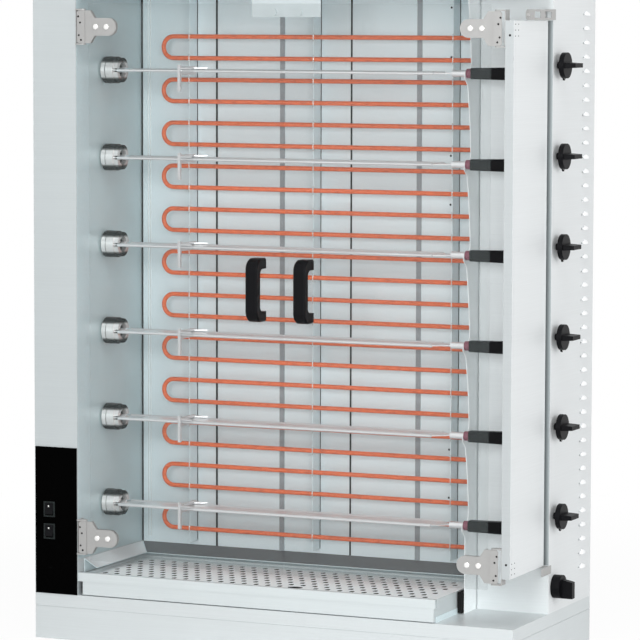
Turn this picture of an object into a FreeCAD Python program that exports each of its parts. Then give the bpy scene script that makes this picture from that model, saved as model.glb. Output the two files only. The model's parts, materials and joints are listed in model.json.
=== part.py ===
import FreeCAD, Part
import math
import os

# Electric wall rotisserie for whole chickens, six driven spits one above another.
# Millimetres. While modelling, X runs from the left edge, Y back from the front and Z up.
# The finished solids are moved so that the origin is the middle of the base's underside.

# Cabinet
WIDTH = 1117.0
DEPTH = 468.0
BASE_HEIGHT = 100.0
BASE_SEAM = 71.0
BASE_GROOVE = 1.0
CHAMBER_HEIGHT = 1305.0
TOP_CASING_HEIGHT = 100.0
PILLAR_WIDTH = 104.0
CHAMBER_WIDTH = 848.0
CHAMBER_DEPTH = 310.0
BAY_DEPTH = 209.0
SHEET = 1.5
LINING = 1.2
FLANGE = 15.0
RUNNING_GAP = 0.3
SLIDE_GAP = 0.5
PIECE_GAP = 1.0
BAR_SIDES = 8
NEAR = 0.1

# Chamber back wall
BACK_JOINTS = 3
BACK_JOINT_FIRST = 187.0
BACK_JOINT_PITCH = 324.5
BACK_JOINT_GAP = 4.0
BACK_RIB_OFFSET = 160.0
BACK_RIB_WIDTH = 12.0
BACK_RIB_HEIGHT = 1.0

# Spits and chucks
SPIT_COUNT = 6
SPIT_PITCH = 190.0
SPIT_FIRST = 289.0
SPIT_INSET = 135.0
SHAFT_RADIUS = 8.0
SHAFT_CLEARANCE = 0.05
BUSH_RADIUS = 12.0
BUSH_CLEARANCE = 0.2
BUSH_FLANGE_RADIUS = 22.0
BUSH_FLANGE = 4.0
BUSH_LENGTH = 32.0
DRUM_RADIUS = 29.3
DRUM_LENGTH = 28.7
CLAW_RADIUS = 27.0
CLAW_BORE = 17.0
CLAW_LENGTH = 11.0
CLAW_SLOT = 8.0
CLAW_SLOTS = 4
TANG_RADIUS = 6.0
TONGUE_WIDTH = 50.0
BLADE_SETBACK = 3.0
BLADE_WIDTH = 70.0
BLADE_SHEET = 2.0
BEAD_RADIUS = 3.5
BLADE_END_GAP = 30.0
SHANK_RADIUS = 7.3
SHANK_CLEARANCE = 0.3
COLLAR_LENGTH = 12.0
COLLAR_RADIUS = 9.5
HANDLE_LENGTH = 110.0
HANDLE_HEIGHT = 23.0
HANDLE_END_HEIGHT = 27.0
HANDLE_DEPTH = 24.0
HANDLE_CORNER = 3.0
FORK_PLACE = 196.0
FORK_SHEET = 6.0
FORK_HEIGHT = 18.0
FORK_SIDE = 4.0
FORK_CLEARANCE = 0.2
FORK_TAB_WIDTH = 7.0
FORK_TAB_RISE = 13.0
FORK_TAB_DROP = 44.0
FORK_HOLE_DROP = 31.0
FORK_HOLE_RADIUS = 2.0
PRONG_LENGTH = 28.0
PRONG_WIDTH = 10.0
PRONG_SHEET = 3.0

# Drive in the left pillar
CHAIN_PITCH = 12.7
SPROCKET_TEETH = 12
SPROCKET_WIDTH = 7.0
SPROCKET_PLACE = 60.0
TOOTH_DEPTH = 6.0
TOOTH_RISE = 2.0
TOOTH_RAMP = 0.3
TOOTH_CREST = 0.55
SPROCKET_CLEARANCE = 0.1
SHAFT_TAIL = 10.0
CHAIN_PLATE = 1.5
CHAIN_HEIGHT = 8.0
CHAIN_ROLLER_RADIUS = 3.5
MOTOR_DROP = 114.0
GEARBOX_WIDTH = 60.0
GEARBOX_HEIGHT = 64.0
GEARBOX_LENGTH = 28.0
MOTOR_RADIUS = 28.0
MOTOR_LENGTH = 120.0
MOTOR_SHAFT_RADIUS = 6.0

# Heating elements
ELEMENT_RADIUS = 4.3
ELEMENT_SIDES = 8
ELEMENT_INSET = 275.0
ELEMENT_LEG = 47.5
ELEMENT_DROP = 70.0
ELEMENT_LEFT = 69.0
ELEMENT_TAIL = 30.0
ELEMENT_CLEARANCE = 0.3
COMB_PLACES = [137.6, 437.5, 763.0]
COMB_FRONT = 271.0
COMB_RISE = 10.0

# Right chamber wall
WALL_FRONT = 141.0
WALL_WAVE = 20.0
WAVE_STEP = (0.04, 0.7)
WAVE_CREST = 0.12
WAVE_SWEEP = (0.52, 0.62)
WAVE_END = 0.86
WALL_HOOK = 17.0
WALL_HOOK_HEIGHT = 17.0
WALL_HOOK_LIP = 2.0
WALL_HOOK_SLOPE = 3.0
MOUTH_MARGIN = 5.0
SWITCH_BOX_SEAM = 2.0
SWITCH_BOX_SEAM_DEPTH = 6.0

# Drip tray
DEFLECTOR_TOP = 77.0
DEFLECTOR_FALL = 19.0
DEFLECTOR_REACH = 31.0
DEFLECTOR_BACK_REACH = 40.0
DEFLECTOR_FRONT = 32.0
DEFLECTOR_FLANGE = 30.0
RUNNER_HEIGHT = 1.5
RUNNER_WIDTH = 15.0
RUNNER_GUIDE = 12.0
RUNNER_SETBACK = 2.0
DRAWER_SIDE_GAP = 11.0
DRAWER_WIDTH = 824.0
DRAWER_DEPTH = 296.0
DRAWER_FRONT = 3.0
DRAWER_HEIGHT = 46.0
DRAWER_LIP_HEIGHT = 19.0
DRAWER_LIP_RISE = 2.0
DRAWER_LIP_DEPTH = 10.0
DRAWER_LIP_WIDTH = 838.6
GRID_DROP = 5.0
GRID_GAP = 1.0
GRID_PITCH = 28.0
GRID_HOLE_WIDTH = 11.0
GRID_HOLE_LENGTH = 16.0
GRID_MARGIN = 22.0
FINGER_HOLE_LENGTH = 34.0
FINGER_HOLE_WIDTH = 22.0
FINGER_HOLE_INSET = 62.0

# Glass doors
GLASS = 6.0
GLASS_FRONT = 1.0
GLASS_BOTTOM_GAP = 78.5
GLASS_TOP_GAP = 22.0
GLASS_HINGE_GAP = 15.5
GLASS_MEETING_GAP = 3.5
HINGE_SETBACK_LEFT = 15.5
HINGE_SETBACK_RIGHT = 17.0
HINGE_INSET = 50.0
HINGE_HEIGHT = 77.0
HINGE_TAB = 3.0
HINGE_PIN_RADIUS = 3.0
HINGE_KNUCKLE_RADIUS = 5.5
HINGE_EAR = 1.0
HINGE_PLATE = 2.0
HINGE_SHOULDER = 20.0
HINGE_NECK = 31.0
HINGE_LUG_REACH = 63.0
HINGE_LUG_RADIUS = 19.0
HINGE_SCREWS = [33.5, 59.0]
HINGE_SCREW_RADIUS = 2.5
HINGE_HEAD_RADIUS = 5.5
HINGE_HEAD = 2.5
HINGE_BRACKET_DEPTH = 25.0
GLASS_HOLE_CLEARANCE = 0.5
DOOR_HANDLE_HEIGHT = 134.0
DOOR_HANDLE_WIDTH = 28.0
DOOR_HANDLE_REACH = 46.0
DOOR_HANDLE_THICKNESS = 16.0
DOOR_HANDLE_FOOT = 22.0
DOOR_HANDLE_BEND = 24.0
DOOR_HANDLE_INSET = 55.0
DOOR_HANDLE_LEVEL = 783.0
DOOR_HANDLE_EDGE = 3.0
DOOR_SCREW_RADIUS = 3.0
DOOR_SCREW_HEAD_RADIUS = 7.0

# Door catches
CATCH_PLATE_WIDTH = 158.0
CATCH_PLATE_DROP = 50.0
CATCH_PLATE_INSET = 3.0
CATCH_SPACING = 59.5
CATCH_RADIUS = 8.0
CATCH_DROP = 39.5

# Swinging wing over the spit handles
WING_FLANGE = 19.0
WING_SIDE_SETBACK = 8.0
WING_GAP = 19.0
WING_BOTTOM_GAP = 104.0
WING_TOP_GAP = 55.5
WING_RETURN = 26.0
PIVOT_SETBACK = 9.0
PIVOT_RADIUS = 4.0
PIVOT_EYE_RADIUS = 8.0
PIVOT_EYE = 12.0
PIVOT_INSET = 9.5
TOP_ARM_HEIGHT = 22.0
TOP_ARM_REACH = 174.0
ARM_OVERLAP = 10.0
ARM_LUG = 3.0
ARM_WINDOW_HEIGHT = 13.0
ARM_WINDOWS = [(49.0, 36.0), (108.0, 42.0)]
ARM_GAP = 1.0
PIN_REACH = 2.0
ARM_NUT_RADIUS = 7.0
ARM_NUT = 6.0
BOTTOM_ARM_REACH = 57.0
BOTTOM_ARM_HEIGHT = 17.0

# Side panel with its controls
LOUVRE_COUNT = 40
LOUVRE_PITCH = 30.5
LOUVRE_FIRST = 70.0
LOUVRE_INSET = 36.0
LOUVRE_WIDTH = 40.0
LOUVRE_HEIGHT = 7.0
LOUVRE_DEPTH = 4.5
LOUVRE_LIP = 1.05
KNOB_SETBACK = 28.0
KNOB_RISE = 17.0
KNOB_RADIUS = 27.0
KNOB_DISC = 11.0
KNOB_NECK_RADIUS = 7.5
KNOB_NECK = 11.0
KNOB_GRIP_LENGTH = 25.0
KNOB_GRIP_HEIGHT = 12.0
KNOB_GRIP_TIP = 9.0
KNOB_GRIP_MARGIN = 4.0
KNOB_POINTER = 4.5
KNOB_POINTER_ROOT = 2.0
KNOB_STEM_RADIUS = 3.0
KNOB_STEM = 24.0
KNOB_HOLE_RADIUS = 5.0
REGULATOR_SIZE = 44.0
REGULATOR_DEPTH = 32.0
MAIN_SWITCH_LEVEL = 155.0
MAIN_SWITCH_SETBACK = 33.0
MAIN_SWITCH_RADIUS = 25.0
MAIN_SWITCH_COLLAR = 19.0
MAIN_SWITCH_GRIP_LENGTH = 24.0
MAIN_SWITCH_GRIP_HEIGHT = 40.0
MAIN_SWITCH_GRIP_DEPTH = 16.0
MAIN_SWITCH_DROP = 4.0
MAIN_SWITCH_SLOPE = 5.0

# Control panel on the pillar
PANEL_HEIGHT = 322.0
PANEL_MARGIN = 2.0
PANEL_THICKNESS = 2.0
PANEL_EDGE = 0.5
ROCKER_CENTRE = 36.6
ROCKER_LEVELS = [237.0, 285.4]
ROCKER_FRAME_WIDTH = 27.0
ROCKER_FRAME_HEIGHT = 33.6
ROCKER_FRAME = 2.0
ROCKER_WIDTH = 19.4
ROCKER_HEIGHT = 24.0
ROCKER_OPENING_HEIGHT = 27.4
ROCKER_WALL = 2.0
ROCKER_BODY_DEPTH = 24.0
ROCKER_POCKET_DEPTH = 12.0
ROCKER_PIVOT_DEPTH = 4.0
ROCKER_PIN_RADIUS = 1.5
ROCKER_PIN_END = 1.5
ROCKER_CROWN = 2.5
ROCKER_DISH = 2.0
ROCKER_BACK = 4.0
ROCKER_TILT = 7.0

# Places worked out from the sizes above
CEILING = BASE_HEIGHT + CHAMBER_HEIGHT
TOTAL_HEIGHT = CEILING + TOP_CASING_HEIGHT
CHAMBER_RIGHT = PILLAR_WIDTH + CHAMBER_WIDTH
GLASS_BOTTOM = BASE_HEIGHT + GLASS_BOTTOM_GAP
GLASS_TOP = CEILING - GLASS_TOP_GAP
WING_X = WIDTH - WING_SIDE_SETBACK
WING_FLANGE_X = WING_X - WING_FLANGE
WING_BOTTOM = BASE_HEIGHT + WING_BOTTOM_GAP
WING_TOP = CEILING - WING_TOP_GAP
WING_BACK = BAY_DEPTH - WING_GAP
KNOB_INSET = BAY_DEPTH + KNOB_SETBACK
MAIN_SWITCH_INSET = BAY_DEPTH + MAIN_SWITCH_SETBACK
PIVOT_X = WING_X - PIVOT_SETBACK
PIVOT_Y = BAY_DEPTH - PIVOT_INSET
LEFT_HINGE_X = PILLAR_WIDTH + HINGE_SETBACK_LEFT
RIGHT_HINGE_X = WING_FLANGE_X - HINGE_SETBACK_RIGHT
MEETING_X = (LEFT_HINGE_X + RIGHT_HINGE_X) / 2
HINGE_Y = GLASS_FRONT + GLASS / 2
HINGE_LEVELS = [GLASS_BOTTOM + HINGE_INSET, GLASS_TOP - HINGE_INSET]
DRUM_START = PILLAR_WIDTH + BUSH_FLANGE + RUNNING_GAP
CLAW_START = DRUM_START + DRUM_LENGTH
CLAW_END = CLAW_START + CLAW_LENGTH
SHANK_END = CHAMBER_RIGHT + SHEET + RUNNING_GAP
BLADE_START = CLAW_END + BLADE_SETBACK
BLADE_END = CHAMBER_RIGHT - BLADE_END_GAP
PITCH_RADIUS = CHAIN_PITCH / 2 / math.sin(math.pi / SPROCKET_TEETH)
MOTOR_LEVEL = SPIT_FIRST - MOTOR_DROP
PANEL_INNER = WIDTH - SHEET
DRAWER_X = PILLAR_WIDTH + DRAWER_SIDE_GAP
DRAWER_FLOOR = BASE_HEIGHT + RUNNER_HEIGHT + RUNNING_GAP
DRAWER_TOP = DRAWER_FLOOR + DRAWER_HEIGHT
GRID_LEVEL = DRAWER_TOP - GRID_DROP
ORIGIN = FreeCAD.Vector(WIDTH / 2, DEPTH / 2, 0)


def point(x, y, z):
    return FreeCAD.Vector(x, y, z)


def box(x0, x1, y0, y1, z0, z1):
    return Part.makeBox(x1 - x0, y1 - y0, z1 - z0, point(x0, y0, z0))


def rod_x(x0, x1, y, z, radius):
    return Part.makeCylinder(radius, x1 - x0, point(x0, y, z), point(1, 0, 0))


def rod_y(y0, y1, x, z, radius):
    return Part.makeCylinder(radius, y1 - y0, point(x, y0, z), point(0, 1, 0))


def rod_z(z0, z1, x, y, radius):
    return Part.makeCylinder(radius, z1 - z0, point(x, y, z0), point(0, 0, 1))


def prism(points, along):
    corners = [point(*p) for p in points]
    return Part.Face(Part.makePolygon(corners + corners[:1])).extrude(point(*along))


def bar(start, along, radius):
    side = point(0, 1, 0) if along[1] == 0 else point(1, 0, 0)
    up = point(*along).cross(side).normalize()
    corners = []
    for i in range(BAR_SIDES):
        angle = 2 * math.pi * (i + 0.5) / BAR_SIDES
        corners.append(point(*start) + side * (radius * math.cos(angle)) + up * (radius * math.sin(angle)))
    return prism(corners, along)


def fuse(shapes):
    return shapes[0].multiFuse(shapes[1:]).removeSplitter()


def mirrored(shape, x):
    return shape.mirror(point(x, 0, 0), point(1, 0, 0))


def save(name, solids):
    moved = []
    for solid in solids:
        for piece in solid.Solids:
            copy = piece.copy()
            copy.translate(ORIGIN.negative())
            moved.append(copy)
    shape = moved[0] if len(moved) == 1 else Part.makeCompound(moved)
    shape.exportStep("parts/%s.step" % name)


def spit_levels():
    return [SPIT_FIRST + SPIT_PITCH * i for i in range(SPIT_COUNT)]


def element_levels():
    first = SPIT_FIRST - ELEMENT_DROP
    return [first + SPIT_PITCH / 2 * i for i in range(2 * SPIT_COUNT)]


# Cabinet shell

def base_plinth():
    plinth = box(0, WIDTH, 0, DEPTH, 0, BASE_SEAM)
    plinth = plinth.cut(box(SHEET, WIDTH - SHEET, SHEET, DEPTH - SHEET, SHEET, BASE_SEAM - SHEET))
    opening = box(FLANGE, WIDTH - FLANGE, FLANGE, DEPTH - FLANGE, BASE_SEAM - 2 * SHEET, BASE_SEAM)
    plinth = plinth.cut(opening)
    groove = BASE_GROOVE
    cap = box(0, WIDTH, 0, DEPTH, BASE_SEAM + groove, BASE_HEIGHT)
    cap = cap.fuse(box(groove, WIDTH - groove, groove, DEPTH - groove, BASE_SEAM, BASE_SEAM + groove))
    inside = box(2 * SHEET, WIDTH - 2 * SHEET, 2 * SHEET, DEPTH - 2 * SHEET, BASE_SEAM, BASE_HEIGHT - SHEET)
    return [plinth, cap.cut(inside).removeSplitter()]


def left_pillar():
    back = DEPTH - SHEET
    shell = box(0, PILLAR_WIDTH, 0, back, BASE_HEIGHT, CEILING)
    shell = shell.cut(box(SHEET, PILLAR_WIDTH - SHEET, SHEET, back - SHEET, BASE_HEIGHT, CEILING))
    shell = shell.cut(box(FLANGE, PILLAR_WIDTH - FLANGE, back - SHEET, back, BASE_HEIGHT, CEILING))
    holes = []
    for level in spit_levels():
        holes.append(rod_x(PILLAR_WIDTH - SHEET, PILLAR_WIDTH, SPIT_INSET, level, BUSH_RADIUS + BUSH_CLEARANCE))
    for level in ROCKER_LEVELS:
        holes.append(rocker_cutout(level, 0, SHEET))
    return [shell.cut(Part.makeCompound(holes))]


def top_casing():
    cover = box(0, WIDTH, 0, DEPTH, CEILING, TOTAL_HEIGHT)
    cover = cover.cut(box(SHEET, WIDTH - SHEET, SHEET, DEPTH - SHEET, CEILING, TOTAL_HEIGHT - SHEET))
    ceiling = box(SHEET, WIDTH - SHEET, SHEET, DEPTH - SHEET, CEILING, CEILING + SHEET)
    return [cover, ceiling]


def back_panels():
    joints = [PILLAR_WIDTH + BACK_JOINT_FIRST + BACK_JOINT_PITCH * i for i in range(BACK_JOINTS)]
    starts = [PILLAR_WIDTH + BACK_JOINT_GAP] + [x + BACK_JOINT_GAP / 2 for x in joints]
    ends = [x - BACK_JOINT_GAP / 2 for x in joints] + [CHAMBER_RIGHT]
    half = BACK_RIB_WIDTH / 2
    front = CHAMBER_DEPTH - BACK_RIB_HEIGHT
    panels = []
    for start, end in zip(starts, ends):
        panel = box(start, end, CHAMBER_DEPTH, CHAMBER_DEPTH + LINING, BASE_HEIGHT, CEILING)
        for x in [joint + BACK_RIB_OFFSET for joint in joints]:
            if start < x < end:
                rib = box(x - half, x + half, front, CHAMBER_DEPTH, BASE_HEIGHT + DEFLECTOR_TOP, CEILING)
                panel = fuse([panel, rib])
        panels.append(panel)
    return panels


def wave_edge(low, high):
    x = CHAMBER_RIGHT
    back = WALL_FRONT + WALL_WAVE
    rise = high - low
    start = point(x, WALL_FRONT, low)
    crest = point(x, back, low + rise * WAVE_CREST)
    end = point(x, WALL_FRONT, low + rise * WAVE_END)
    up, depth = WAVE_STEP
    step = Part.Arc(start, point(x, WALL_FRONT + WALL_WAVE * depth, low + rise * up), crest)
    up, depth = WAVE_SWEEP
    sweep = Part.Arc(crest, point(x, WALL_FRONT + WALL_WAVE * depth, low + rise * up), end)
    face = Part.Face(Part.Wire([step.toShape(), sweep.toShape(), Part.makeLine(end, start)]))
    return face.extrude(point(SHEET, 0, 0))


def spit_notch(level):
    radius = SHANK_RADIUS + SHANK_CLEARANCE
    hook_front = WALL_FRONT - WALL_HOOK
    x0 = CHAMBER_RIGHT
    x1 = CHAMBER_RIGHT + SHEET
    bottom = level - radius - WALL_HOOK_HEIGHT
    top = level - WALL_HOOK_LIP
    hook = prism([(x0, WALL_FRONT, bottom), (x0, hook_front, level - radius - WALL_HOOK_SLOPE),
                  (x0, hook_front, top), (x0, WALL_FRONT, top)], (SHEET, 0, 0))
    seat = rod_x(x0, x1, SPIT_INSET, level, radius)
    slope = radius * math.sqrt(0.5)
    reach = WALL_FRONT + WALL_WAVE
    mouth = prism([(x0, SPIT_INSET + slope, level + slope), (x0, SPIT_INSET - slope, level - slope),
                   (x0, SPIT_INSET - slope - reach, level - slope + reach),
                   (x0, SPIT_INSET + slope, level + slope + reach)], (SHEET, 0, 0))
    lift = mouth.common(box(x0, x1, hook_front - MOUTH_MARGIN, reach, level - radius, level + 3 * radius))
    return hook, fuse([seat, lift])


def right_wall():
    x0 = CHAMBER_RIGHT
    x1 = CHAMBER_RIGHT + SHEET
    wall = box(x0, x1, WALL_FRONT, DEPTH - SHEET, BASE_HEIGHT, CEILING)
    hole = ELEMENT_RADIUS + ELEMENT_CLEARANCE
    hooks = []
    cuts = []
    for level in spit_levels():
        hook, cut = spit_notch(level)
        hooks.append(hook)
        cuts.append(cut)
        cuts.append(wave_edge(level, level + SPIT_PITCH))
    for level in element_levels():
        for rise in (0, ELEMENT_LEG):
            z = level + rise
            cuts.append(box(x0, x1, ELEMENT_INSET - hole, ELEMENT_INSET + hole, z - hole, z + hole))
    wall = wall.multiFuse(hooks).cut(cuts)
    return [wall.common(box(x0, x1, 0, DEPTH, BASE_HEIGHT, CEILING)).removeSplitter()]


def switch_box():
    x0 = CHAMBER_RIGHT + SHEET
    seam = x0 + SWITCH_BOX_SEAM
    back = BAY_DEPTH + SWITCH_BOX_SEAM_DEPTH
    front = box(seam, PANEL_INNER, BAY_DEPTH, BAY_DEPTH + SHEET, BASE_HEIGHT, CEILING)
    web = box(seam, seam + SHEET, BAY_DEPTH, back + SHEET, BASE_HEIGHT, CEILING)
    link = box(x0, seam + SHEET, back, back + SHEET, BASE_HEIGHT, CEILING)
    flange = box(x0, x0 + SHEET, back, back + FLANGE, BASE_HEIGHT, CEILING)
    return [fuse([front, web, link, flange])]


def louvre(level):
    y0 = DEPTH - LOUVRE_INSET - LOUVRE_WIDTH
    slot_top = level + LOUVRE_HEIGHT - 2 * LOUVRE_LIP
    hood = prism([(WIDTH, y0, level + LOUVRE_HEIGHT), (WIDTH + LOUVRE_DEPTH, y0, level),
                  (WIDTH + LOUVRE_DEPTH - LOUVRE_LIP, y0, level), (WIDTH, y0, slot_top)], (0, LOUVRE_WIDTH, 0))
    slot = box(PANEL_INNER, WIDTH, y0, y0 + LOUVRE_WIDTH, level, slot_top)
    return hood, slot


def side_panel():
    panel = box(PANEL_INNER, WIDTH, BAY_DEPTH, DEPTH - SHEET, BASE_HEIGHT, CEILING)
    hoods = []
    cuts = []
    for i in range(LOUVRE_COUNT):
        hood, slot = louvre(BASE_HEIGHT + LOUVRE_FIRST + LOUVRE_PITCH * i)
        hoods.append(hood)
        cuts.append(slot)
    for level in knob_levels():
        cuts.append(rod_x(PANEL_INNER, WIDTH, KNOB_INSET, level, KNOB_HOLE_RADIUS))
    cuts.append(rod_x(PANEL_INNER, WIDTH, MAIN_SWITCH_INSET, MAIN_SWITCH_LEVEL, KNOB_HOLE_RADIUS))
    return [panel.cut(cuts).multiFuse(hoods)]


def rear_panel():
    return [box(0, WIDTH, DEPTH - SHEET, DEPTH, BASE_HEIGHT, CEILING)]


# Drive

def drive_bushes():
    bushes = []
    for level in spit_levels():
        flange = rod_x(PILLAR_WIDTH, PILLAR_WIDTH + BUSH_FLANGE, SPIT_INSET, level, BUSH_FLANGE_RADIUS)
        sleeve = bar((PILLAR_WIDTH - BUSH_LENGTH, SPIT_INSET, level), (BUSH_LENGTH, 0, 0), BUSH_RADIUS)
        bore = rod_x(0, CHAMBER_RIGHT, SPIT_INSET, level, SHAFT_RADIUS + SHAFT_CLEARANCE)
        bushes.append(flange.fuse(sleeve).cut(bore))
    return bushes


def sprocket(level, bore):
    points = []
    outer = PITCH_RADIUS + TOOTH_RISE
    inner = outer - TOOTH_DEPTH
    for i in range(SPROCKET_TEETH):
        for share, radius in ((0, inner), (TOOTH_RAMP, outer), (TOOTH_CREST, outer)):
            angle = 2 * math.pi * (i + share) / SPROCKET_TEETH
            y = SPIT_INSET + radius * math.cos(angle)
            z = level + radius * math.sin(angle)
            points.append((SPROCKET_PLACE, y, z))
    wheel = prism(points, (SPROCKET_WIDTH, 0, 0))
    return wheel.cut(rod_x(SPROCKET_PLACE, SPROCKET_PLACE + SPROCKET_WIDTH, SPIT_INSET, level, bore))


def chuck(level):
    shaft = rod_x(SPROCKET_PLACE - SHAFT_TAIL, DRUM_START, SPIT_INSET, level, SHAFT_RADIUS)
    drum = rod_x(DRUM_START, CLAW_START, SPIT_INSET, level, DRUM_RADIUS)
    claws = rod_x(CLAW_START, CLAW_END, SPIT_INSET, level, CLAW_RADIUS)
    claws = claws.cut(rod_x(CLAW_START, CLAW_END, SPIT_INSET, level, CLAW_BORE))
    slots = []
    for i in range(CLAW_SLOTS // 2):
        slot = box(CLAW_START, CLAW_END, SPIT_INSET - DRUM_RADIUS, SPIT_INSET + DRUM_RADIUS,
                   level - CLAW_SLOT / 2, level + CLAW_SLOT / 2)
        slot.rotate(point(0, SPIT_INSET, level), point(1, 0, 0), 360.0 / CLAW_SLOTS * i)
        slots.append(slot)
    body = fuse([shaft, drum, claws.cut(slots)])
    return [body, sprocket(level, SHAFT_RADIUS + SPROCKET_CLEARANCE)]


def motor_sprocket():
    start = SPROCKET_PLACE - SHAFT_TAIL / 2
    end = PILLAR_WIDTH - SHEET - GEARBOX_LENGTH / 2
    shaft = rod_x(start, end, SPIT_INSET, MOTOR_LEVEL, MOTOR_SHAFT_RADIUS)
    return [sprocket(MOTOR_LEVEL, MOTOR_SHAFT_RADIUS + SPROCKET_CLEARANCE), shaft]


def gear_motor():
    face = PILLAR_WIDTH - SHEET - GEARBOX_LENGTH
    half = GEARBOX_WIDTH / 2
    gearbox = box(face, PILLAR_WIDTH - SHEET, SPIT_INSET - half, SPIT_INSET + half,
                  MOTOR_LEVEL - GEARBOX_HEIGHT / 2, MOTOR_LEVEL + GEARBOX_HEIGHT / 2)
    bore = rod_x(face, face + GEARBOX_LENGTH / 2 + RUNNING_GAP, SPIT_INSET, MOTOR_LEVEL,
                 MOTOR_SHAFT_RADIUS + SHAFT_CLEARANCE)
    motor = rod_y(SPIT_INSET + half, SPIT_INSET + half + MOTOR_LENGTH, PILLAR_WIDTH - SHEET - MOTOR_RADIUS,
                  MOTOR_LEVEL, MOTOR_RADIUS)
    return [gearbox.cut(bore), motor]


def stadium(x0, x1, low, high, radius):
    middle = box(x0, x1, SPIT_INSET - radius, SPIT_INSET + radius, low, high)
    return fuse([middle, rod_x(x0, x1, SPIT_INSET, low, radius), rod_x(x0, x1, SPIT_INSET, high, radius)])


def drive_chain():
    low = MOTOR_LEVEL
    high = spit_levels()[-1]
    outer = PITCH_RADIUS + CHAIN_HEIGHT / 2
    inner = PITCH_RADIUS - CHAIN_HEIGHT / 2
    left = SPROCKET_PLACE - RUNNING_GAP - CHAIN_PLATE
    right = SPROCKET_PLACE + SPROCKET_WIDTH + RUNNING_GAP
    pieces = []
    for x in (left, right):
        loop = stadium(x, x + CHAIN_PLATE, low, high, outer)
        pieces.append(loop.cut(stadium(x, x + CHAIN_PLATE, low, high, inner)))
    stops = [low] + spit_levels()
    for start, end in zip(stops, stops[1:]):
        middle = (start + end) / 2
        for side in (-1, 1):
            y = SPIT_INSET + side * PITCH_RADIUS
            start_point = (left + CHAIN_PLATE, y, middle)
            pieces.append(bar(start_point, (right - start_point[0], 0, 0), CHAIN_ROLLER_RADIUS))
    return [fuse(pieces)]


# Spits

def spit(level):
    half = BLADE_WIDTH / 2
    edge = half - BEAD_RADIUS
    y = SPIT_INSET
    low = level - BLADE_SHEET / 2
    high = level + BLADE_SHEET / 2
    neck_start = BLADE_END - edge
    plate = box(BLADE_START, neck_start, y - edge, y + edge, low, high)
    neck = prism([(neck_start, y - edge, low), (BLADE_END, y - SHANK_RADIUS, low),
                  (BLADE_END, y + SHANK_RADIUS, low), (neck_start, y + edge, low)], (0, 0, BLADE_SHEET))
    beads = []
    for side in (-1, 1):
        beads.append(bar((BLADE_START, y + side * edge, level), (neck_start - BLADE_START, 0, 0), BEAD_RADIUS))
    shank = rod_x(BLADE_END, SHANK_END, y, level, SHANK_RADIUS)
    tongue = box(CLAW_START, BLADE_START, y - TONGUE_WIDTH / 2, y + TONGUE_WIDTH / 2, low, high)
    tang = bar((CLAW_START, y, level), (BLADE_START + BLADE_SETBACK - CLAW_START, 0, 0), TANG_RADIUS)
    return fuse([plate, neck, shank, tongue, tang] + beads)


def fork(level):
    x0 = PILLAR_WIDTH + FORK_PLACE
    x1 = x0 + FORK_SHEET
    y = SPIT_INSET
    half = BLADE_WIDTH / 2 + FORK_SIDE
    front = y - half
    clamp = box(x0, x1, front, y + half, level - FORK_HEIGHT / 2, level + FORK_HEIGHT / 2)
    tab = box(x0, x1, front, front + FORK_TAB_WIDTH, level - FORK_TAB_DROP, level + FORK_TAB_RISE)
    inside = half - FORK_SIDE + FORK_CLEARANCE
    rise = BEAD_RADIUS + FORK_CLEARANCE
    window = box(x0, x1, y - inside, y + inside, level - rise, level + rise)
    hole = bar((x0, front + FORK_TAB_WIDTH / 2, level - FORK_HOLE_DROP), (FORK_SHEET, 0, 0), FORK_HOLE_RADIUS)
    prongs = []
    for side in (-1, 1):
        outer = y + side * half
        inner = outer - side * PRONG_WIDTH
        low = level + rise
        corners = [(x1, outer, low), (x1, inner, low), (x1 + PRONG_LENGTH, outer, low)]
        prongs.append(prism(corners, (0, 0, PRONG_SHEET)))
    return fuse([clamp, tab] + prongs).cut([window, hole])


def spit_with_fork(level):
    return [spit(level), fork(level)]


def handle_section(x, level, height):
    y = HANDLE_DEPTH / 2
    z = height / 2
    corner = HANDLE_CORNER
    outline = [(y - corner, -z), (y, corner - z), (y, z - corner), (y - corner, z)]
    outline += [(-a, -b) for a, b in outline]
    corners = [point(x, SPIT_INSET + a, level + b) for a, b in outline]
    return Part.makePolygon(corners + corners[:1])


def handle(level):
    start = SHANK_END + COLLAR_LENGTH
    first = handle_section(start, level, HANDLE_HEIGHT)
    last = handle_section(start + HANDLE_LENGTH, level, HANDLE_END_HEIGHT)
    grip = Part.makeLoft([first, last], True, True)
    collar = rod_x(SHANK_END, start, SPIT_INSET, level, COLLAR_RADIUS)
    return [grip, collar]


# Heating

def hairpin(level):
    bend = ELEMENT_LEG / 2
    centre = PILLAR_WIDTH + ELEMENT_LEFT + ELEMENT_RADIUS + bend
    end = CHAMBER_RIGHT + ELEMENT_TAIL
    corners = []
    for i in range(ELEMENT_SIDES + 1):
        angle = 2 * math.pi * (i + 0.5) / ELEMENT_SIDES
        y = ELEMENT_INSET + ELEMENT_RADIUS * math.cos(angle)
        corners.append(point(centre, y, level + ELEMENT_RADIUS * math.sin(angle)))
    section = Part.Face(Part.makePolygon(corners))
    turn = section.revolve(point(centre, ELEMENT_INSET, level + bend), point(0, 1, 0), 180)
    leg = section.extrude(point(end - centre, 0, 0))
    upper = leg.copy()
    upper.translate(point(0, 0, ELEMENT_LEG))
    return fuse([leg, turn, upper])


def heating_elements():
    return [hairpin(level) for level in element_levels()]


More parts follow.
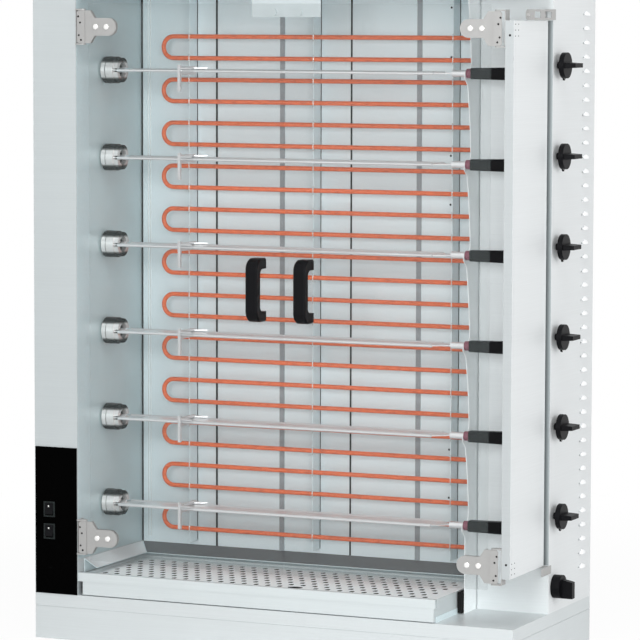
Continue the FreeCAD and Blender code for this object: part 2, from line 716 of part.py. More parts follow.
def element_supports():
    depth = ELEMENT_RADIUS + ELEMENT_CLEARANCE
    combs = []
    for place in COMB_PLACES:
        x0 = PILLAR_WIDTH + place
        comb = box(x0, x0 + LINING, COMB_FRONT, CHAMBER_DEPTH, BASE_HEIGHT + DEFLECTOR_TOP + COMB_RISE, CEILING)
        slots = []
        for level in element_levels():
            for rise in (0, ELEMENT_LEG):
                z = level + rise
                slots.append(box(x0, x0 + LINING, COMB_FRONT, ELEMENT_INSET + depth, z - depth, z + depth))
        combs.append(comb.cut(slots))
    return combs


# Drip tray

def drip_deflectors():
    top = BASE_HEIGHT + DEFLECTOR_TOP
    low = top - DEFLECTOR_FALL
    x0 = PILLAR_WIDTH
    x1 = x0 + DEFLECTOR_REACH
    y0 = DEFLECTOR_FRONT
    y1 = CHAMBER_DEPTH
    flange = top - DEFLECTOR_FLANGE
    fold = top - 2 * LINING
    left = prism([(x0, y0, top), (x1, y0, low), (x1, y0, low - LINING), (x0 + LINING, y0, fold),
                  (x0 + LINING, y0, flange), (x0, y0, flange)], (0, y1 - y0, 0))
    edge = y1 - DEFLECTOR_BACK_REACH
    back = prism([(x0, y1, top), (x0, edge, low), (x0, edge, low - LINING), (x0, y1 - LINING, fold),
                  (x0, y1 - LINING, flange), (x0, y1, flange)], (CHAMBER_WIDTH, 0, 0))
    under = flange - DEFLECTOR_FLANGE
    rise = (0, 0, 3 * DEFLECTOR_FLANGE)
    front_edge = edge - DEFLECTOR_FLANGE
    corner = prism([(x0, y1, under), (x1, edge, under), (x1, front_edge, under), (x0, front_edge, under)], rise)
    front_part = box(x0, x1, y0, front_edge, flange, top)
    left = fuse([left.common(front_part), left.common(corner)])
    triangle = prism([(x0, y1, under), (x1, edge, under), (x0, edge, under)], rise)
    return [left, back.cut(triangle)]


def drawer_runners():
    rails = []
    front = DRAWER_FRONT + DRAWER_LIP_DEPTH + RUNNER_SETBACK
    for side, x in ((-1, DRAWER_X), (1, DRAWER_X + DRAWER_WIDTH)):
        inner = x - side * RUNNER_WIDTH
        guide = x + side * SLIDE_GAP
        outer = guide + side * LINING
        rail = box(min(inner, outer), max(inner, outer), front, CHAMBER_DEPTH, BASE_HEIGHT,
                   BASE_HEIGHT + RUNNER_HEIGHT)
        wall = box(min(guide, outer), max(guide, outer), front, CHAMBER_DEPTH, BASE_HEIGHT,
                   BASE_HEIGHT + RUNNER_GUIDE)
        rails.append(fuse([rail, wall]))
    return rails


def drip_drawer():
    x0 = DRAWER_X
    x1 = DRAWER_X + DRAWER_WIDTH
    y0 = DRAWER_FRONT
    y1 = DRAWER_FRONT + DRAWER_DEPTH
    tray = box(x0, x1, y0, y1, DRAWER_FLOOR, DRAWER_TOP)
    tray = tray.cut(box(x0 + LINING, x1 - LINING, y0 + LINING, y1 - LINING, DRAWER_FLOOR + LINING, DRAWER_TOP))
    lip_x = PILLAR_WIDTH + RUNNING_GAP
    lip_top = DRAWER_TOP + DRAWER_LIP_RISE
    lip_bottom = lip_top - DRAWER_LIP_HEIGHT
    lip = box(lip_x, lip_x + DRAWER_LIP_WIDTH, y0 - LINING, y0 + DRAWER_LIP_DEPTH, lip_bottom, lip_top)
    hollow = box(lip_x, lip_x + DRAWER_LIP_WIDTH, y0, y0 + DRAWER_LIP_DEPTH - LINING, lip_bottom,
                 lip_top - LINING)
    channel = lip.cut(hollow)
    inner = box(x0 + LINING, x1 - LINING, y0 + LINING, y1, DRAWER_FLOOR + LINING, DRAWER_TOP - GRID_DROP)
    return [fuse([channel.cut(inner), tray])]


def grid_holes():
    x0 = DRAWER_X + LINING + GRID_GAP + GRID_MARGIN
    x1 = DRAWER_X + DRAWER_WIDTH - LINING - GRID_GAP - GRID_MARGIN
    y0 = DRAWER_FRONT + DRAWER_LIP_DEPTH + GRID_GAP + GRID_MARGIN
    y1 = DRAWER_FRONT + DRAWER_DEPTH - LINING - GRID_GAP - GRID_MARGIN
    columns = int((x1 - x0) / GRID_PITCH)
    rows = int((y1 - y0) / GRID_PITCH)
    half = GRID_HOLE_WIDTH / 2
    reach = GRID_HOLE_LENGTH / 2
    holes = []
    for row in range(rows + 1):
        y = y0 + GRID_PITCH * row
        for column in range(columns + row % 2):
            x = x0 + GRID_PITCH * (column + 0.5 * (1 - row % 2))
            beside = abs(x - MEETING_X) > FINGER_HOLE_LENGTH
            if beside or abs(y - FINGER_HOLE_INSET) > FINGER_HOLE_WIDTH:
                holes.append(box(x - half, x + half, y - reach, y + reach, GRID_LEVEL - LINING, GRID_LEVEL))
    return holes


def drip_grid():
    x0 = DRAWER_X + LINING + GRID_GAP
    x1 = DRAWER_X + DRAWER_WIDTH - LINING - GRID_GAP
    y0 = DRAWER_FRONT + DRAWER_LIP_DEPTH + GRID_GAP
    y1 = DRAWER_FRONT + DRAWER_DEPTH - LINING - GRID_GAP
    plate = box(x0, x1, y0, y1, GRID_LEVEL - LINING, GRID_LEVEL)
    skirt_bottom = DRAWER_FLOOR + LINING
    legs = []
    for x in (x0, x1 - LINING):
        legs.append(box(x, x + LINING, y0, y1, skirt_bottom, GRID_LEVEL - LINING))
    half = (FINGER_HOLE_LENGTH - FINGER_HOLE_WIDTH) / 2
    y = FINGER_HOLE_INSET
    radius = FINGER_HOLE_WIDTH / 2
    low = GRID_LEVEL - LINING
    finger = fuse([box(MEETING_X - half, MEETING_X + half, y - radius, y + radius, low, GRID_LEVEL),
                   rod_z(low, GRID_LEVEL, MEETING_X - half, y, radius),
                   rod_z(low, GRID_LEVEL, MEETING_X + half, y, radius)])
    return [fuse([plate] + legs).cut(grid_holes() + [finger])]


# Glass doors, drawn for the left door and mirrored for the right one

def screw(x, level, front, back, radius, head_radius):
    shank = bar((x, front, level), (0, back - front, 0), radius)
    head = bar((x, front - HINGE_HEAD, level), (0, HINGE_HEAD, 0), head_radius)
    return fuse([shank, head])


def left_glass():
    x0 = LEFT_HINGE_X + GLASS_HINGE_GAP
    x1 = MEETING_X - GLASS_MEETING_GAP / 2
    pane = box(x0, x1, GLASS_FRONT, GLASS_FRONT + GLASS, GLASS_BOTTOM, GLASS_TOP)
    holes = []
    for level in HINGE_LEVELS:
        for reach in HINGE_SCREWS:
            radius = HINGE_SCREW_RADIUS + GLASS_HOLE_CLEARANCE
            holes.append(bar((LEFT_HINGE_X + reach, GLASS_FRONT, level), (0, GLASS, 0), radius))
    for level in door_screw_levels():
        radius = DOOR_SCREW_RADIUS + GLASS_HOLE_CLEARANCE
        holes.append(bar((MEETING_X - DOOR_HANDLE_INSET, GLASS_FRONT, level), (0, GLASS, 0), radius))
    return [pane.cut(holes)]


def hinge_outline(y0, y1, level):
    half = HINGE_HEIGHT / 2 - HINGE_TAB - RUNNING_GAP
    x = LEFT_HINGE_X
    upper = [(x, half), (x + HINGE_SHOULDER, half), (x + HINGE_NECK, HINGE_LUG_RADIUS)]
    outline = upper + [(a, -b) for a, b in reversed(upper)]
    body = prism([(a, y0, level + b) for a, b in outline], (0, y1 - y0, 0))
    lug = box(x, x + HINGE_LUG_REACH, y0, y1, level - HINGE_LUG_RADIUS, level + HINGE_LUG_RADIUS)
    tip = rod_y(y0, y1, x + HINGE_LUG_REACH, level, HINGE_LUG_RADIUS)
    return fuse([body, lug, tip])


def hinge_plate(level):
    half = HINGE_HEIGHT / 2 - HINGE_TAB - RUNNING_GAP
    x = LEFT_HINGE_X
    front = GLASS_FRONT - HINGE_PLATE
    back = GLASS_FRONT + GLASS
    knuckle = rod_z(level - half, level + half, x, HINGE_Y, HINGE_KNUCKLE_RADIUS)
    bore = rod_z(level - half, level + half, x, HINGE_Y, HINGE_PIN_RADIUS + SHAFT_CLEARANCE)
    leaf = fuse([knuckle, hinge_outline(front, GLASS_FRONT, level)]).cut(bore)
    clamp = hinge_outline(back, back + HINGE_PLATE, level)
    clamp = clamp.cut(box(0, x + GLASS_HINGE_GAP, back, back + HINGE_PLATE, 0, TOTAL_HEIGHT))
    screws = []
    holes = []
    for reach in HINGE_SCREWS:
        screws.append(screw(x + reach, level, front, back, HINGE_SCREW_RADIUS, HINGE_HEAD_RADIUS))
        radius = HINGE_SCREW_RADIUS + GLASS_HOLE_CLEARANCE
        holes.append(bar((x + reach, front, level), (0, HINGE_PLATE, 0), radius))
    return [leaf.cut(holes), clamp] + screws


def left_hinge_plates():
    solids = []
    for level in HINGE_LEVELS:
        solids.extend(hinge_plate(level))
    return solids


def hinge_bracket(level, wall_x, setback):
    half = HINGE_HEIGHT / 2
    x = wall_x + setback
    radius = HINGE_KNUCKLE_RADIUS + HINGE_EAR
    wall = box(wall_x, wall_x + SHEET, GLASS_FRONT, HINGE_BRACKET_DEPTH, level - half, level + half)
    pieces = [wall, rod_z(level - half, level + half, x, HINGE_Y, HINGE_PIN_RADIUS)]
    for z in (level - half, level + half - HINGE_TAB):
        pieces.append(box(wall_x, x, HINGE_Y - radius, HINGE_Y + radius, z, z + HINGE_TAB))
        pieces.append(rod_z(z, z + HINGE_TAB, x, HINGE_Y, radius))
    return fuse(pieces)


def left_hinge_brackets():
    return [hinge_bracket(level, PILLAR_WIDTH, HINGE_SETBACK_LEFT) for level in HINGE_LEVELS]


def right_hinge_brackets():
    mirror_x = WING_FLANGE_X
    return [mirrored(hinge_bracket(level, mirror_x, HINGE_SETBACK_RIGHT), mirror_x) for level in HINGE_LEVELS]


def door_screw_levels():
    reach = DOOR_HANDLE_HEIGHT / 2 - DOOR_HANDLE_FOOT / 2
    return [DOOR_HANDLE_LEVEL - reach, DOOR_HANDLE_LEVEL + reach]


def left_door_handle():
    x = MEETING_X - DOOR_HANDLE_INSET
    x0 = x - DOOR_HANDLE_WIDTH / 2
    x1 = x + DOOR_HANDLE_WIDTH / 2
    y0 = GLASS_FRONT - DOOR_HANDLE_REACH
    z0 = DOOR_HANDLE_LEVEL - DOOR_HANDLE_HEIGHT / 2
    z1 = DOOR_HANDLE_LEVEL + DOOR_HANDLE_HEIGHT / 2
    outer = box(x0, x1, y0, GLASS_FRONT, z0, z1)
    bends = [e for e in outer.Edges if e.BoundBox.YMax < y0 + NEAR and e.BoundBox.ZLength < NEAR]
    outer = outer.makeFillet(DOOR_HANDLE_BEND, bends)
    rims = [e for e in outer.Edges if e.BoundBox.XLength < NEAR and e.BoundBox.YMin < GLASS_FRONT - NEAR]
    outer = outer.makeChamfer(DOOR_HANDLE_EDGE, rims)
    grip = y0 + DOOR_HANDLE_THICKNESS
    inner = box(x0, x1, grip, GLASS_FRONT, z0 + DOOR_HANDLE_FOOT, z1 - DOOR_HANDLE_FOOT)
    corners = [e for e in inner.Edges if e.BoundBox.YMax < grip + NEAR and e.BoundBox.ZLength < NEAR]
    inner = inner.makeFillet(DOOR_HANDLE_BEND / 2, corners)
    solids = [outer.cut(inner)]
    back = GLASS_FRONT + GLASS
    for level in door_screw_levels():
        shank = bar((x, GLASS_FRONT, level), (0, GLASS, 0), DOOR_SCREW_RADIUS)
        head = bar((x, back, level), (0, HINGE_HEAD, 0), DOOR_SCREW_HEAD_RADIUS)
        solids.append(fuse([shank, head]))
    return solids


def for_right_door(solids):
    return [mirrored(solid, MEETING_X) for solid in solids]


def door_catch_bracket():
    y0 = GLASS_FRONT + GLASS + CATCH_PLATE_INSET
    half = CATCH_PLATE_WIDTH / 2
    plate = box(MEETING_X - half, MEETING_X + half, y0, y0 + SHEET, CEILING - CATCH_PLATE_DROP, CEILING)
    flange = box(MEETING_X - half, MEETING_X + half, y0, y0 + FLANGE, CEILING - SHEET, CEILING)
    solids = [fuse([plate, flange])]
    for side in (-1, 1):
        x = MEETING_X + side * CATCH_SPACING / 2
        catch = rod_y(GLASS_FRONT + GLASS + RUNNING_GAP, y0, x, CEILING - CATCH_DROP, CATCH_RADIUS)
        solids.append(catch)
    return solids


# Wing over the handle bay

def wing_panel():
    x0 = WING_FLANGE_X
    x1 = WING_X
    front = box(x0, x1, 0, SHEET, WING_BOTTOM, WING_TOP)
    side = box(x1 - SHEET, x1, 0, WING_BACK, WING_BOTTOM, WING_TOP)
    lip = box(x0, x0 + SHEET, 0, WING_RETURN, WING_BOTTOM, WING_TOP)
    tube = rod_z(WING_BOTTOM, WING_TOP, PIVOT_X, PIVOT_Y, PIVOT_EYE_RADIUS)
    pieces = [front, side, lip, tube]
    for z in (WING_BOTTOM, WING_TOP - PIVOT_EYE):
        web = box(PIVOT_X, x1 - SHEET, WING_BACK - 2 * PIVOT_EYE, PIVOT_Y, z, z + PIVOT_EYE)
        pieces.append(web)
        pieces.append(box(PIVOT_X, x1, WING_BACK - PIVOT_EYE, WING_BACK, z, z + PIVOT_EYE))
    depth = PIVOT_EYE + 2 * PIN_REACH
    bores = []
    for z in (WING_BOTTOM, WING_TOP - depth):
        bores.append(rod_z(z, z + depth, PIVOT_X, PIVOT_Y, PIVOT_RADIUS + SHAFT_CLEARANCE))
    return [fuse(pieces).cut(bores)]


def pivot_bracket(lug_bottom, pin_bottom, pin_top):
    back = BAY_DEPTH
    pad = rod_z(lug_bottom, lug_bottom + ARM_LUG, PIVOT_X, PIVOT_Y, PIVOT_EYE_RADIUS)
    lug = box(PIVOT_X - PIVOT_EYE_RADIUS, WIDTH, PIVOT_Y, back, lug_bottom, lug_bottom + ARM_LUG)
    pin = rod_z(pin_bottom, pin_top, PIVOT_X, PIVOT_Y, PIVOT_RADIUS)
    return [pad, lug, pin]


def wing_brackets():
    x0 = WIDTH
    x1 = WIDTH + SHEET
    back = BAY_DEPTH + ARM_OVERLAP
    bottom = WING_TOP + ARM_GAP
    top = bottom + TOP_ARM_HEIGHT
    radius = TOP_ARM_HEIGHT / 2
    front = back - TOP_ARM_REACH + radius
    arm = fuse([box(x0, x1, front, back, bottom, top), rod_x(x0, x1, front, bottom + radius, radius)])
    windows = []
    for start, length in ARM_WINDOWS:
        y = back - TOP_ARM_REACH + start
        z = bottom + (TOP_ARM_HEIGHT - ARM_WINDOW_HEIGHT) / 2
        windows.append(box(x0, x1, y, y + length, z, z + ARM_WINDOW_HEIGHT))
    arm = arm.cut(windows)
    nut = bar((x1, front, bottom + radius), (ARM_NUT, 0, 0), ARM_NUT_RADIUS)
    upper = fuse([arm] + pivot_bracket(top - ARM_LUG, WING_TOP - PIVOT_EYE - PIN_REACH, top - ARM_LUG))
    low_top = WING_BOTTOM - ARM_GAP
    low = low_top - BOTTOM_ARM_HEIGHT
    plate = box(x0, x1, back - BOTTOM_ARM_REACH, back, low, low_top)
    pin_top = WING_BOTTOM + PIVOT_EYE + PIN_REACH
    lower = fuse([plate] + pivot_bracket(low_top - ARM_LUG, low_top - ARM_LUG, pin_top))
    return [upper, nut, lower]


# Controls

def knob_levels():
    return [level + KNOB_RISE for level in spit_levels()]


def heat_regulators():
    solids = []
    half = REGULATOR_SIZE / 2
    places = [(KNOB_INSET, level) for level in knob_levels()]
    places.append((MAIN_SWITCH_INSET, MAIN_SWITCH_LEVEL))
    for y, z in places:
        y0 = max(y - half, BAY_DEPTH + SHEET + PIECE_GAP)
        body = box(PANEL_INNER - REGULATOR_DEPTH, PANEL_INNER, y0, y + half, z - half, z + half)
        stem = rod_x(PANEL_INNER, WIDTH + KNOB_STEM, y, z, KNOB_STEM_RADIUS)
        solids.append(fuse([body, stem]))
    return solids


def knob(level):
    y = KNOB_INSET
    neck_start = WIDTH + SLIDE_GAP
    disc_start = neck_start + KNOB_NECK
    disc_end = disc_start + KNOB_DISC
    neck = bar((neck_start, y, level), (KNOB_NECK, 0, 0), KNOB_NECK_RADIUS)
    disc = rod_x(disc_start, disc_end, y, level, KNOB_RADIUS)
    half = KNOB_GRIP_HEIGHT / 2
    tip = KNOB_GRIP_TIP / 2
    end = disc_end + KNOB_GRIP_LENGTH
    reach = KNOB_RADIUS - KNOB_GRIP_MARGIN
    grip = prism([(disc_end, y - reach, level - half), (disc_end, y - reach, level + half),
                  (end, y - reach, level + tip), (end, y - reach, level - tip)], (0, 2 * reach, 0))
    root = level - KNOB_RADIUS + KNOB_POINTER_ROOT
    pointer = prism([(disc_start, y - KNOB_POINTER, root), (disc_start, y + KNOB_POINTER, root),
                     (disc_start, y, level - KNOB_RADIUS - KNOB_POINTER)], (KNOB_DISC / 2, 0, 0))
    bore = rod_x(neck_start, WIDTH + KNOB_STEM + SLIDE_GAP, y, level, KNOB_STEM_RADIUS + SHAFT_CLEARANCE)
    return [fuse([neck, disc, grip, pointer]).cut(bore)]


def main_switch():
    y = MAIN_SWITCH_INSET
    z = MAIN_SWITCH_LEVEL
    start = WIDTH + SLIDE_GAP
    collar_end = start + MAIN_SWITCH_COLLAR
    end = collar_end + MAIN_SWITCH_GRIP_LENGTH
    collar = rod_x(start, collar_end, y, z, MAIN_SWITCH_RADIUS)
    half = MAIN_SWITCH_GRIP_HEIGHT / 2
    depth = MAIN_SWITCH_GRIP_DEPTH / 2
    low = z - half - MAIN_SWITCH_DROP
    high = z + half - MAIN_SWITCH_DROP
    grip = prism([(collar_end, y - depth, low), (collar_end, y - depth, high),
                  (end, y - depth, high - MAIN_SWITCH_SLOPE), (end, y - depth, low)], (0, 2 * depth, 0))
    bore = rod_x(start, WIDTH + KNOB_STEM + SLIDE_GAP, y, z, KNOB_STEM_RADIUS + SHAFT_CLEARANCE)
    return [fuse([collar, grip]).cut(bore)]


def rocker_cutout(level, y0, y1):
    half = ROCKER_WIDTH / 2 + RUNNING_GAP + ROCKER_WALL
    rise = ROCKER_OPENING_HEIGHT / 2 + ROCKER_WALL
    return box(ROCKER_CENTRE - half, ROCKER_CENTRE + half, y0, y1, level - rise, level + rise)


def control_panel():
    plate = box(PANEL_MARGIN, PILLAR_WIDTH - PANEL_EDGE, -PANEL_THICKNESS, 0, BASE_HEIGHT,
                BASE_HEIGHT + PANEL_HEIGHT)
    return [plate.cut([rocker_cutout(level, -PANEL_THICKNESS, 0) for level in ROCKER_LEVELS])]


def switch_housings():
    front = -PANEL_THICKNESS - ROCKER_FRAME
    solids = []
    for level in ROCKER_LEVELS:
        half = ROCKER_FRAME_WIDTH / 2
        rise = ROCKER_FRAME_HEIGHT / 2
        frame = box(ROCKER_CENTRE - half, ROCKER_CENTRE + half, front, -PANEL_THICKNESS,
                    level - rise, level + rise)
        body = rocker_cutout(level, -PANEL_THICKNESS, ROCKER_BODY_DEPTH)
        gap = ROCKER_WIDTH / 2 + RUNNING_GAP
        opening = ROCKER_OPENING_HEIGHT / 2
        pocket = box(ROCKER_CENTRE - gap, ROCKER_CENTRE + gap, front, ROCKER_POCKET_DEPTH,
                     level - opening, level + opening)
        pin = rod_x(ROCKER_CENTRE - gap - ROCKER_PIN_END, ROCKER_CENTRE + gap + ROCKER_PIN_END,
                    ROCKER_PIVOT_DEPTH, level, ROCKER_PIN_RADIUS + SHAFT_CLEARANCE)
        solids.append(fuse([frame, body]).cut([pocket, pin]))
    return solids


def rocker(level):
    half = ROCKER_WIDTH / 2
    rise = ROCKER_HEIGHT / 2
    crown = -PANEL_THICKNESS - ROCKER_FRAME - ROCKER_CROWN
    x0 = ROCKER_CENTRE - half
    body = prism([(x0, crown, level - rise), (x0, crown + ROCKER_DISH, level), (x0, crown, level + rise),
                  (x0, ROCKER_PIVOT_DEPTH, level + rise), (x0, ROCKER_PIVOT_DEPTH + ROCKER_BACK, level),
                  (x0, ROCKER_PIVOT_DEPTH, level - rise)], (ROCKER_WIDTH, 0, 0))
    pin = rod_x(x0 - ROCKER_PIN_END, x0 + ROCKER_WIDTH + ROCKER_PIN_END, ROCKER_PIVOT_DEPTH, level,
                ROCKER_PIN_RADIUS)
    solid = fuse([body, pin])
    solid.rotate(point(0, ROCKER_PIVOT_DEPTH, level), point(1, 0, 0), -ROCKER_TILT)
    return [solid]


def build():
    os.makedirs("parts", exist_ok=True)
    save("base_plinth", base_plinth())
    save("left_pillar", left_pillar())
    save("control_panel", control_panel())
    save("top_casing", top_casing())
    save("back_panels", back_panels())
    save("right_wall", right_wall())
    save("switch_box", switch_box())
    save("side_panel", side_panel())
    save("rear_panel", rear_panel())
    save("heating_elements", heating_elements())
    save("element_supports", element_supports())
    save("drip_deflectors", drip_deflectors())
    save("drawer_runners", drawer_runners())
    save("drip_drawer", drip_drawer())
    save("drip_grid", drip_grid())
    save("drive_bushes", drive_bushes())
    save("gear_motor", gear_motor())
    save("motor_sprocket", motor_sprocket())
    save("drive_chain", drive_chain())
    save("door_catch_bracket", door_catch_bracket())
    save("left_hinge_brackets", left_hinge_brackets())
    save("left_door_glass", left_glass())
    save("left_hinge_plates", left_hinge_plates())
    save("left_door_handle", left_door_handle())
    save("wing_panel", wing_panel())
    save("wing_brackets", wing_brackets())
    save("right_hinge_brackets", right_hinge_brackets())
    save("right_door_glass", for_right_door(left_glass()))
    save("right_hinge_plates", for_right_door(left_hinge_plates()))
    save("right_door_handle", for_right_door(left_door_handle()))
    save("heat_regulators", heat_regulators())
    save("main_switch", main_switch())
    save("switch_housings", switch_housings())
    for number, level in enumerate(reversed(spit_levels()), 1):
        save("chuck_%d" % number, chuck(level))
        save("spit_%d" % number, spit_with_fork(level))
        save("spit_handle_%d" % number, handle(level))
        save("knob_%d" % number, knob(level + KNOB_RISE))
    for number, level in enumerate(reversed(ROCKER_LEVELS), 1):
        save("rocker_%d" % number, rocker(level))


build()
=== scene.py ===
import json
import math

import bpy
from mathutils import Matrix, Vector


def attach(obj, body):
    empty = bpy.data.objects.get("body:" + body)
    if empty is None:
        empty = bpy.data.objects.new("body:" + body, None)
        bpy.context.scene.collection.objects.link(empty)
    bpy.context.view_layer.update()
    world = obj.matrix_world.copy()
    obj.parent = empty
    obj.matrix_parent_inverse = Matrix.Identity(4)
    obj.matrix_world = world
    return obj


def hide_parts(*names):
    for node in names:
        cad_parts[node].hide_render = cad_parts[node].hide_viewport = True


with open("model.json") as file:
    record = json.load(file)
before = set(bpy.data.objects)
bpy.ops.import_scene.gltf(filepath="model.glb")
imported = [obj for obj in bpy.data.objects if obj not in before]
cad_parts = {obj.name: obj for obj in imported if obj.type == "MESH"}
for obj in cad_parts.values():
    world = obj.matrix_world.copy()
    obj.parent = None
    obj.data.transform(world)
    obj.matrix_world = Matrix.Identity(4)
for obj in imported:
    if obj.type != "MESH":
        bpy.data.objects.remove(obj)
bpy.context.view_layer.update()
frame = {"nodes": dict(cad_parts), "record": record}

# View of the photograph, fitted to its edges, in metres and degrees
CAMERA_PLACE = (3.05153, -6.79325, 1.36235)
CAMERA_AZIMUTH = 24.07
CAMERA_DROP = 5.08
CAMERA_ROLL = 0.15
CAMERA_LENS = 193.87
CAMERA_SENSOR = 36.0
CAMERA_REACH = 60.0

# Studio: lamp places, targets, sizes and powers in metres and watts
LAMPS = [
    ("front", (0.7, -5.5, 2.0), (0.0, 0.0, 0.8), (1.8, 1.8), 118.0),
    ("side", (5.2, -0.9, 1.9), (0.5, 0.0, 0.8), (3.0, 2.6), 105.0),
    ("right", (3.2, -4.8, 1.2), (0.2, 0.0, 0.7), (2.4, 2.0), 78.0),
    ("top", (1.1, -2.3, 4.4), (0.3, 0.0, 0.2), (2.4, 2.4), 75.0),
]
WORLD_STRENGTH = 0.28
WHITE_STRENGTH = 1.0
FLOOR_HALF = 9.0
FLOOR_TONES = (0.88, 0.91)
FLOOR_GRAIN = (1.5, 1.5, 1.5)
FLOOR_WHITE_NEAR = 0.96
FLOOR_FADE = (1.0, 2.4)

# Cabinet sizes in millimetres, from the left front corner of the base on the floor
PART_CENTRE = (558.5, 234.0)
BACK_WALL_Y = 310.0
WALL_SPAN = (177.5, 1404.5)
SPIT_PITCH = 190.0
SPIT_LEVELS = [1239.0 - SPIT_PITCH * i for i in range(6)]
SPIT_Y = 135.0

# Heating rods, hung in three combs
ROD_RADIUS = 4.9
ROD_SIDES = 16
ELEMENT_INSET = 275.0
ELEMENT_LEG = 47.5
ELEMENT_BEND_X = 201.05
ELEMENT_BEND_STEPS = 18
ELEMENT_END_X = 982.0
ELEMENT_FIRST = 219.0
ELEMENT_PITCH = 95.0
ELEMENT_COUNT = 12
COMB_CENTRES = (242.2, 542.1, 867.6)
CLIP_GAP = 0.6
CLIP_WIRE = 0.8
PIN_WIRE = 0.9
WIRE_SIDES = 8
# Distance behind the front and from the rod's level, along one pin
PIN_BENDS = ((269.6, -9.0), (269.2, -4.0), (269.2, 4.0), (269.6, 9.0))

# Door hinges, with reaches from the hinge axis towards the glass
HINGE_LEVELS = (228.5, 1333.0)
HINGES = (("left", 119.5, 1), ("right", 1073.0, -1))
HINGE_SCREWS = (33.5, 59.0)
HINGE_FACE = -1.0
COVER_FACE = -3.0
COVER_BACK = -1.7
COVER_REACH = (-10.5, 8.0)
COVER_HALF = 34.8
COVER_CORNER = 3.0
COVER_DOTS = ((-3.0, 9.0), (-7.5, 22.0), (-6.0, -18.0), (-1.0, -28.0))

# Door catches, on both sides of the line where the doors meet
MEETING_X = 596.25
CATCH_OFFSET = 29.75
CATCH_LEVEL = 1365.5
# Dark crescents beside each catch: painted shade
CRESCENT_FACES = (7.35, 7.7)
CRESCENT_STEPS = 16
CRESCENT_TURN = 1.25
CRESCENT_OUTER = 8.0
CRESCENT_INNER = (5.0, 6.0)
CRESCENT_SHIFT = 1.4

# Small fasteners: radius and height, from the seat outwards
DOME = [(6.3, 0.0), (6.3, 1.6), (5.4, 2.9), (3.4, 3.6), (1.2, 3.8)]
SMALL_DOME = [(2.2, 0.0), (2.0, 0.6), (1.0, 0.9)]
WING_BOLT = [(2.6, 0.0), (2.4, 0.7), (1.2, 1.0)]
WING_RIVET = [(1.3, 0.0), (1.1, 0.4), (0.6, 0.6)]
WALL_SCREW = [(2.4, 0.0), (2.0, 0.7), (1.0, 1.0)]
WING_BOLT_X = 1100.5
WING_BOLT_LEVELS = (1319.5, 234.0)
WING_SIDE_X = 1109.0
WING_RIVET_Y = (9.0, 26.0)
WING_RIVET_LEVELS = ((1342.0, 1330.0, 1318.0), (235.0, 224.0, 213.0))
WALL_SCREW_X = 848.0
WALL_SCREW_LEVELS = (1376.0, 1270.0, 1059.0, 954.0, 424.0, 319.0)
# Bright strips along two folds of the back wall: painted highlight
FOLD_LEFTS = (120.3, 126.0)
FOLD_WIDTH = 1.2
FOLD_FRONT = 309.3
FOLD_SPAN = (190.0, 1405.0)

# Skins and trims on the sheet metal: boxes by low and high corner, slopes by four corners
# Darker skin over the pillar's inner wall: painted shade
PILLAR_SHADE_SKIN = ((104.0, 3.0, 179.0), (104.3, 309.5, 1404.0))
# Dark blocks in the gaps beside the drawer: painted shade
DRAWER_GAP_SHADES = (
    ((106.0, 16.0, 102.0), (113.8, 300.0, 130.0)),
    ((941.0, 132.0, 102.0), (950.0, 300.0, 146.0)),
)
# Darker skin over the wing's front flange: painted shade
WING_FLANGE_SHADE = ((1090.3, -0.5, 204.3), (1108.7, -0.1, 1349.2))
# Dark strip in the gap behind the wing: painted shade
BAY_GAP_SHADE = ((1101.0, 207.9, 204.5), (1116.4, 208.8, 1349.0))
SKIN = 0.3
# Dark skin on the back deflector's slope: painted shade
DEFLECTOR_BACK_SHADE = [
    (107.0, 309.5, 177.1), (136.0, 270.4, 158.6), (951.5, 270.4, 158.6), (951.5, 309.5, 177.1),
]
# Pale skin on the left deflector: painted light
DEFLECTOR_LEFT_LIGHT = [
    (104.6, 32.4, 177.0), (134.8, 32.4, 158.6), (134.8, 269.5, 158.6), (104.6, 307.0, 177.0),
]
RIB_LEFTS = (445.0, 769.5)
RIB_WIDTH = 12.0
RIB_FACES = (308.5, 308.95)
# Centre and width of each joint in the back wall
WALL_JOINTS = ((106.0, 3.2), (291.0, 4.4), (615.5, 3.8))
JOINT_FACES = (309.2, 309.8)
COMB_EDGE = (0.7, 2.0)
COMB_EDGE_FRONT = 309.3
COMB_EDGE_FOOT = 188.0

# Drip grid holes
GRID_FIRST = (139.2, 36.0)
GRID_PITCH = 28.0
GRID_ROWS = 9
GRID_COLUMNS = 27
HOLE_HALF = (5.4, 7.9)
SHADE_LEVEL = 142.3
SHADE_THICKNESS = 0.3
FINGER_Y = 62.0
FINGER_HALF = (17.0, 11.0)
FINGER_CLEAR = (34.0, 22.0)
FINGER_SIDES = 20

# Louvres of the side panel
LOUVRE_COUNT = 40
LOUVRE_FIRST = 170.0
LOUVRE_PITCH = 30.5
LOUVRE_ROOT_X = 1116.9
LOUVRE_Y = 412.0
LOUVRE_DEPTH = 5.4
LOUVRE_HALF = 20.5
LOUVRE_HEIGHT = 9.5
LOUVRE_TOP_SHARE = 0.35
LOUVRE_ACROSS = 14
LOUVRE_RISE = 6

# Chucks and collars: profiles by radius and reach along the spit
DRUM_RADIUS = 29.3
DRUM_FACE_X = 137.0
GROOVE_X = 118.5
GROOVE_WIRE = 0.6
GROOVE_STEPS = 40
# Dark ring on the drum face: painted shade in its recess
RECESS = [(7.0, 0.2), (7.0, 0.5), (16.6, 0.5), (16.6, 0.2)]
COLLAR_X = 953.9
COLLAR = [(9.7, 0.0), (10.1, 0.6), (10.1, 11.0), (9.7, 11.6)]
ROUND_SIDES = 28

# Knobs and rocker switches
KNOB_Y = 237.0
KNOB_RISE = 17.0
KNOB_RADIUS = 27.0
KNOB_MARK_X = 1133.8
KNOB_MARK_HALF = 4.0
KNOB_MARK_ROOT = 1.5
KNOB_MARK_TIP = 4.0
KNOB_MARK_WIRE = 0.6
ROCKER_LEVELS = (285.4, 237.0)
ROCKER_MARK = ((35.4, -6.9, 5.5), (37.8, -6.1, 9.0))

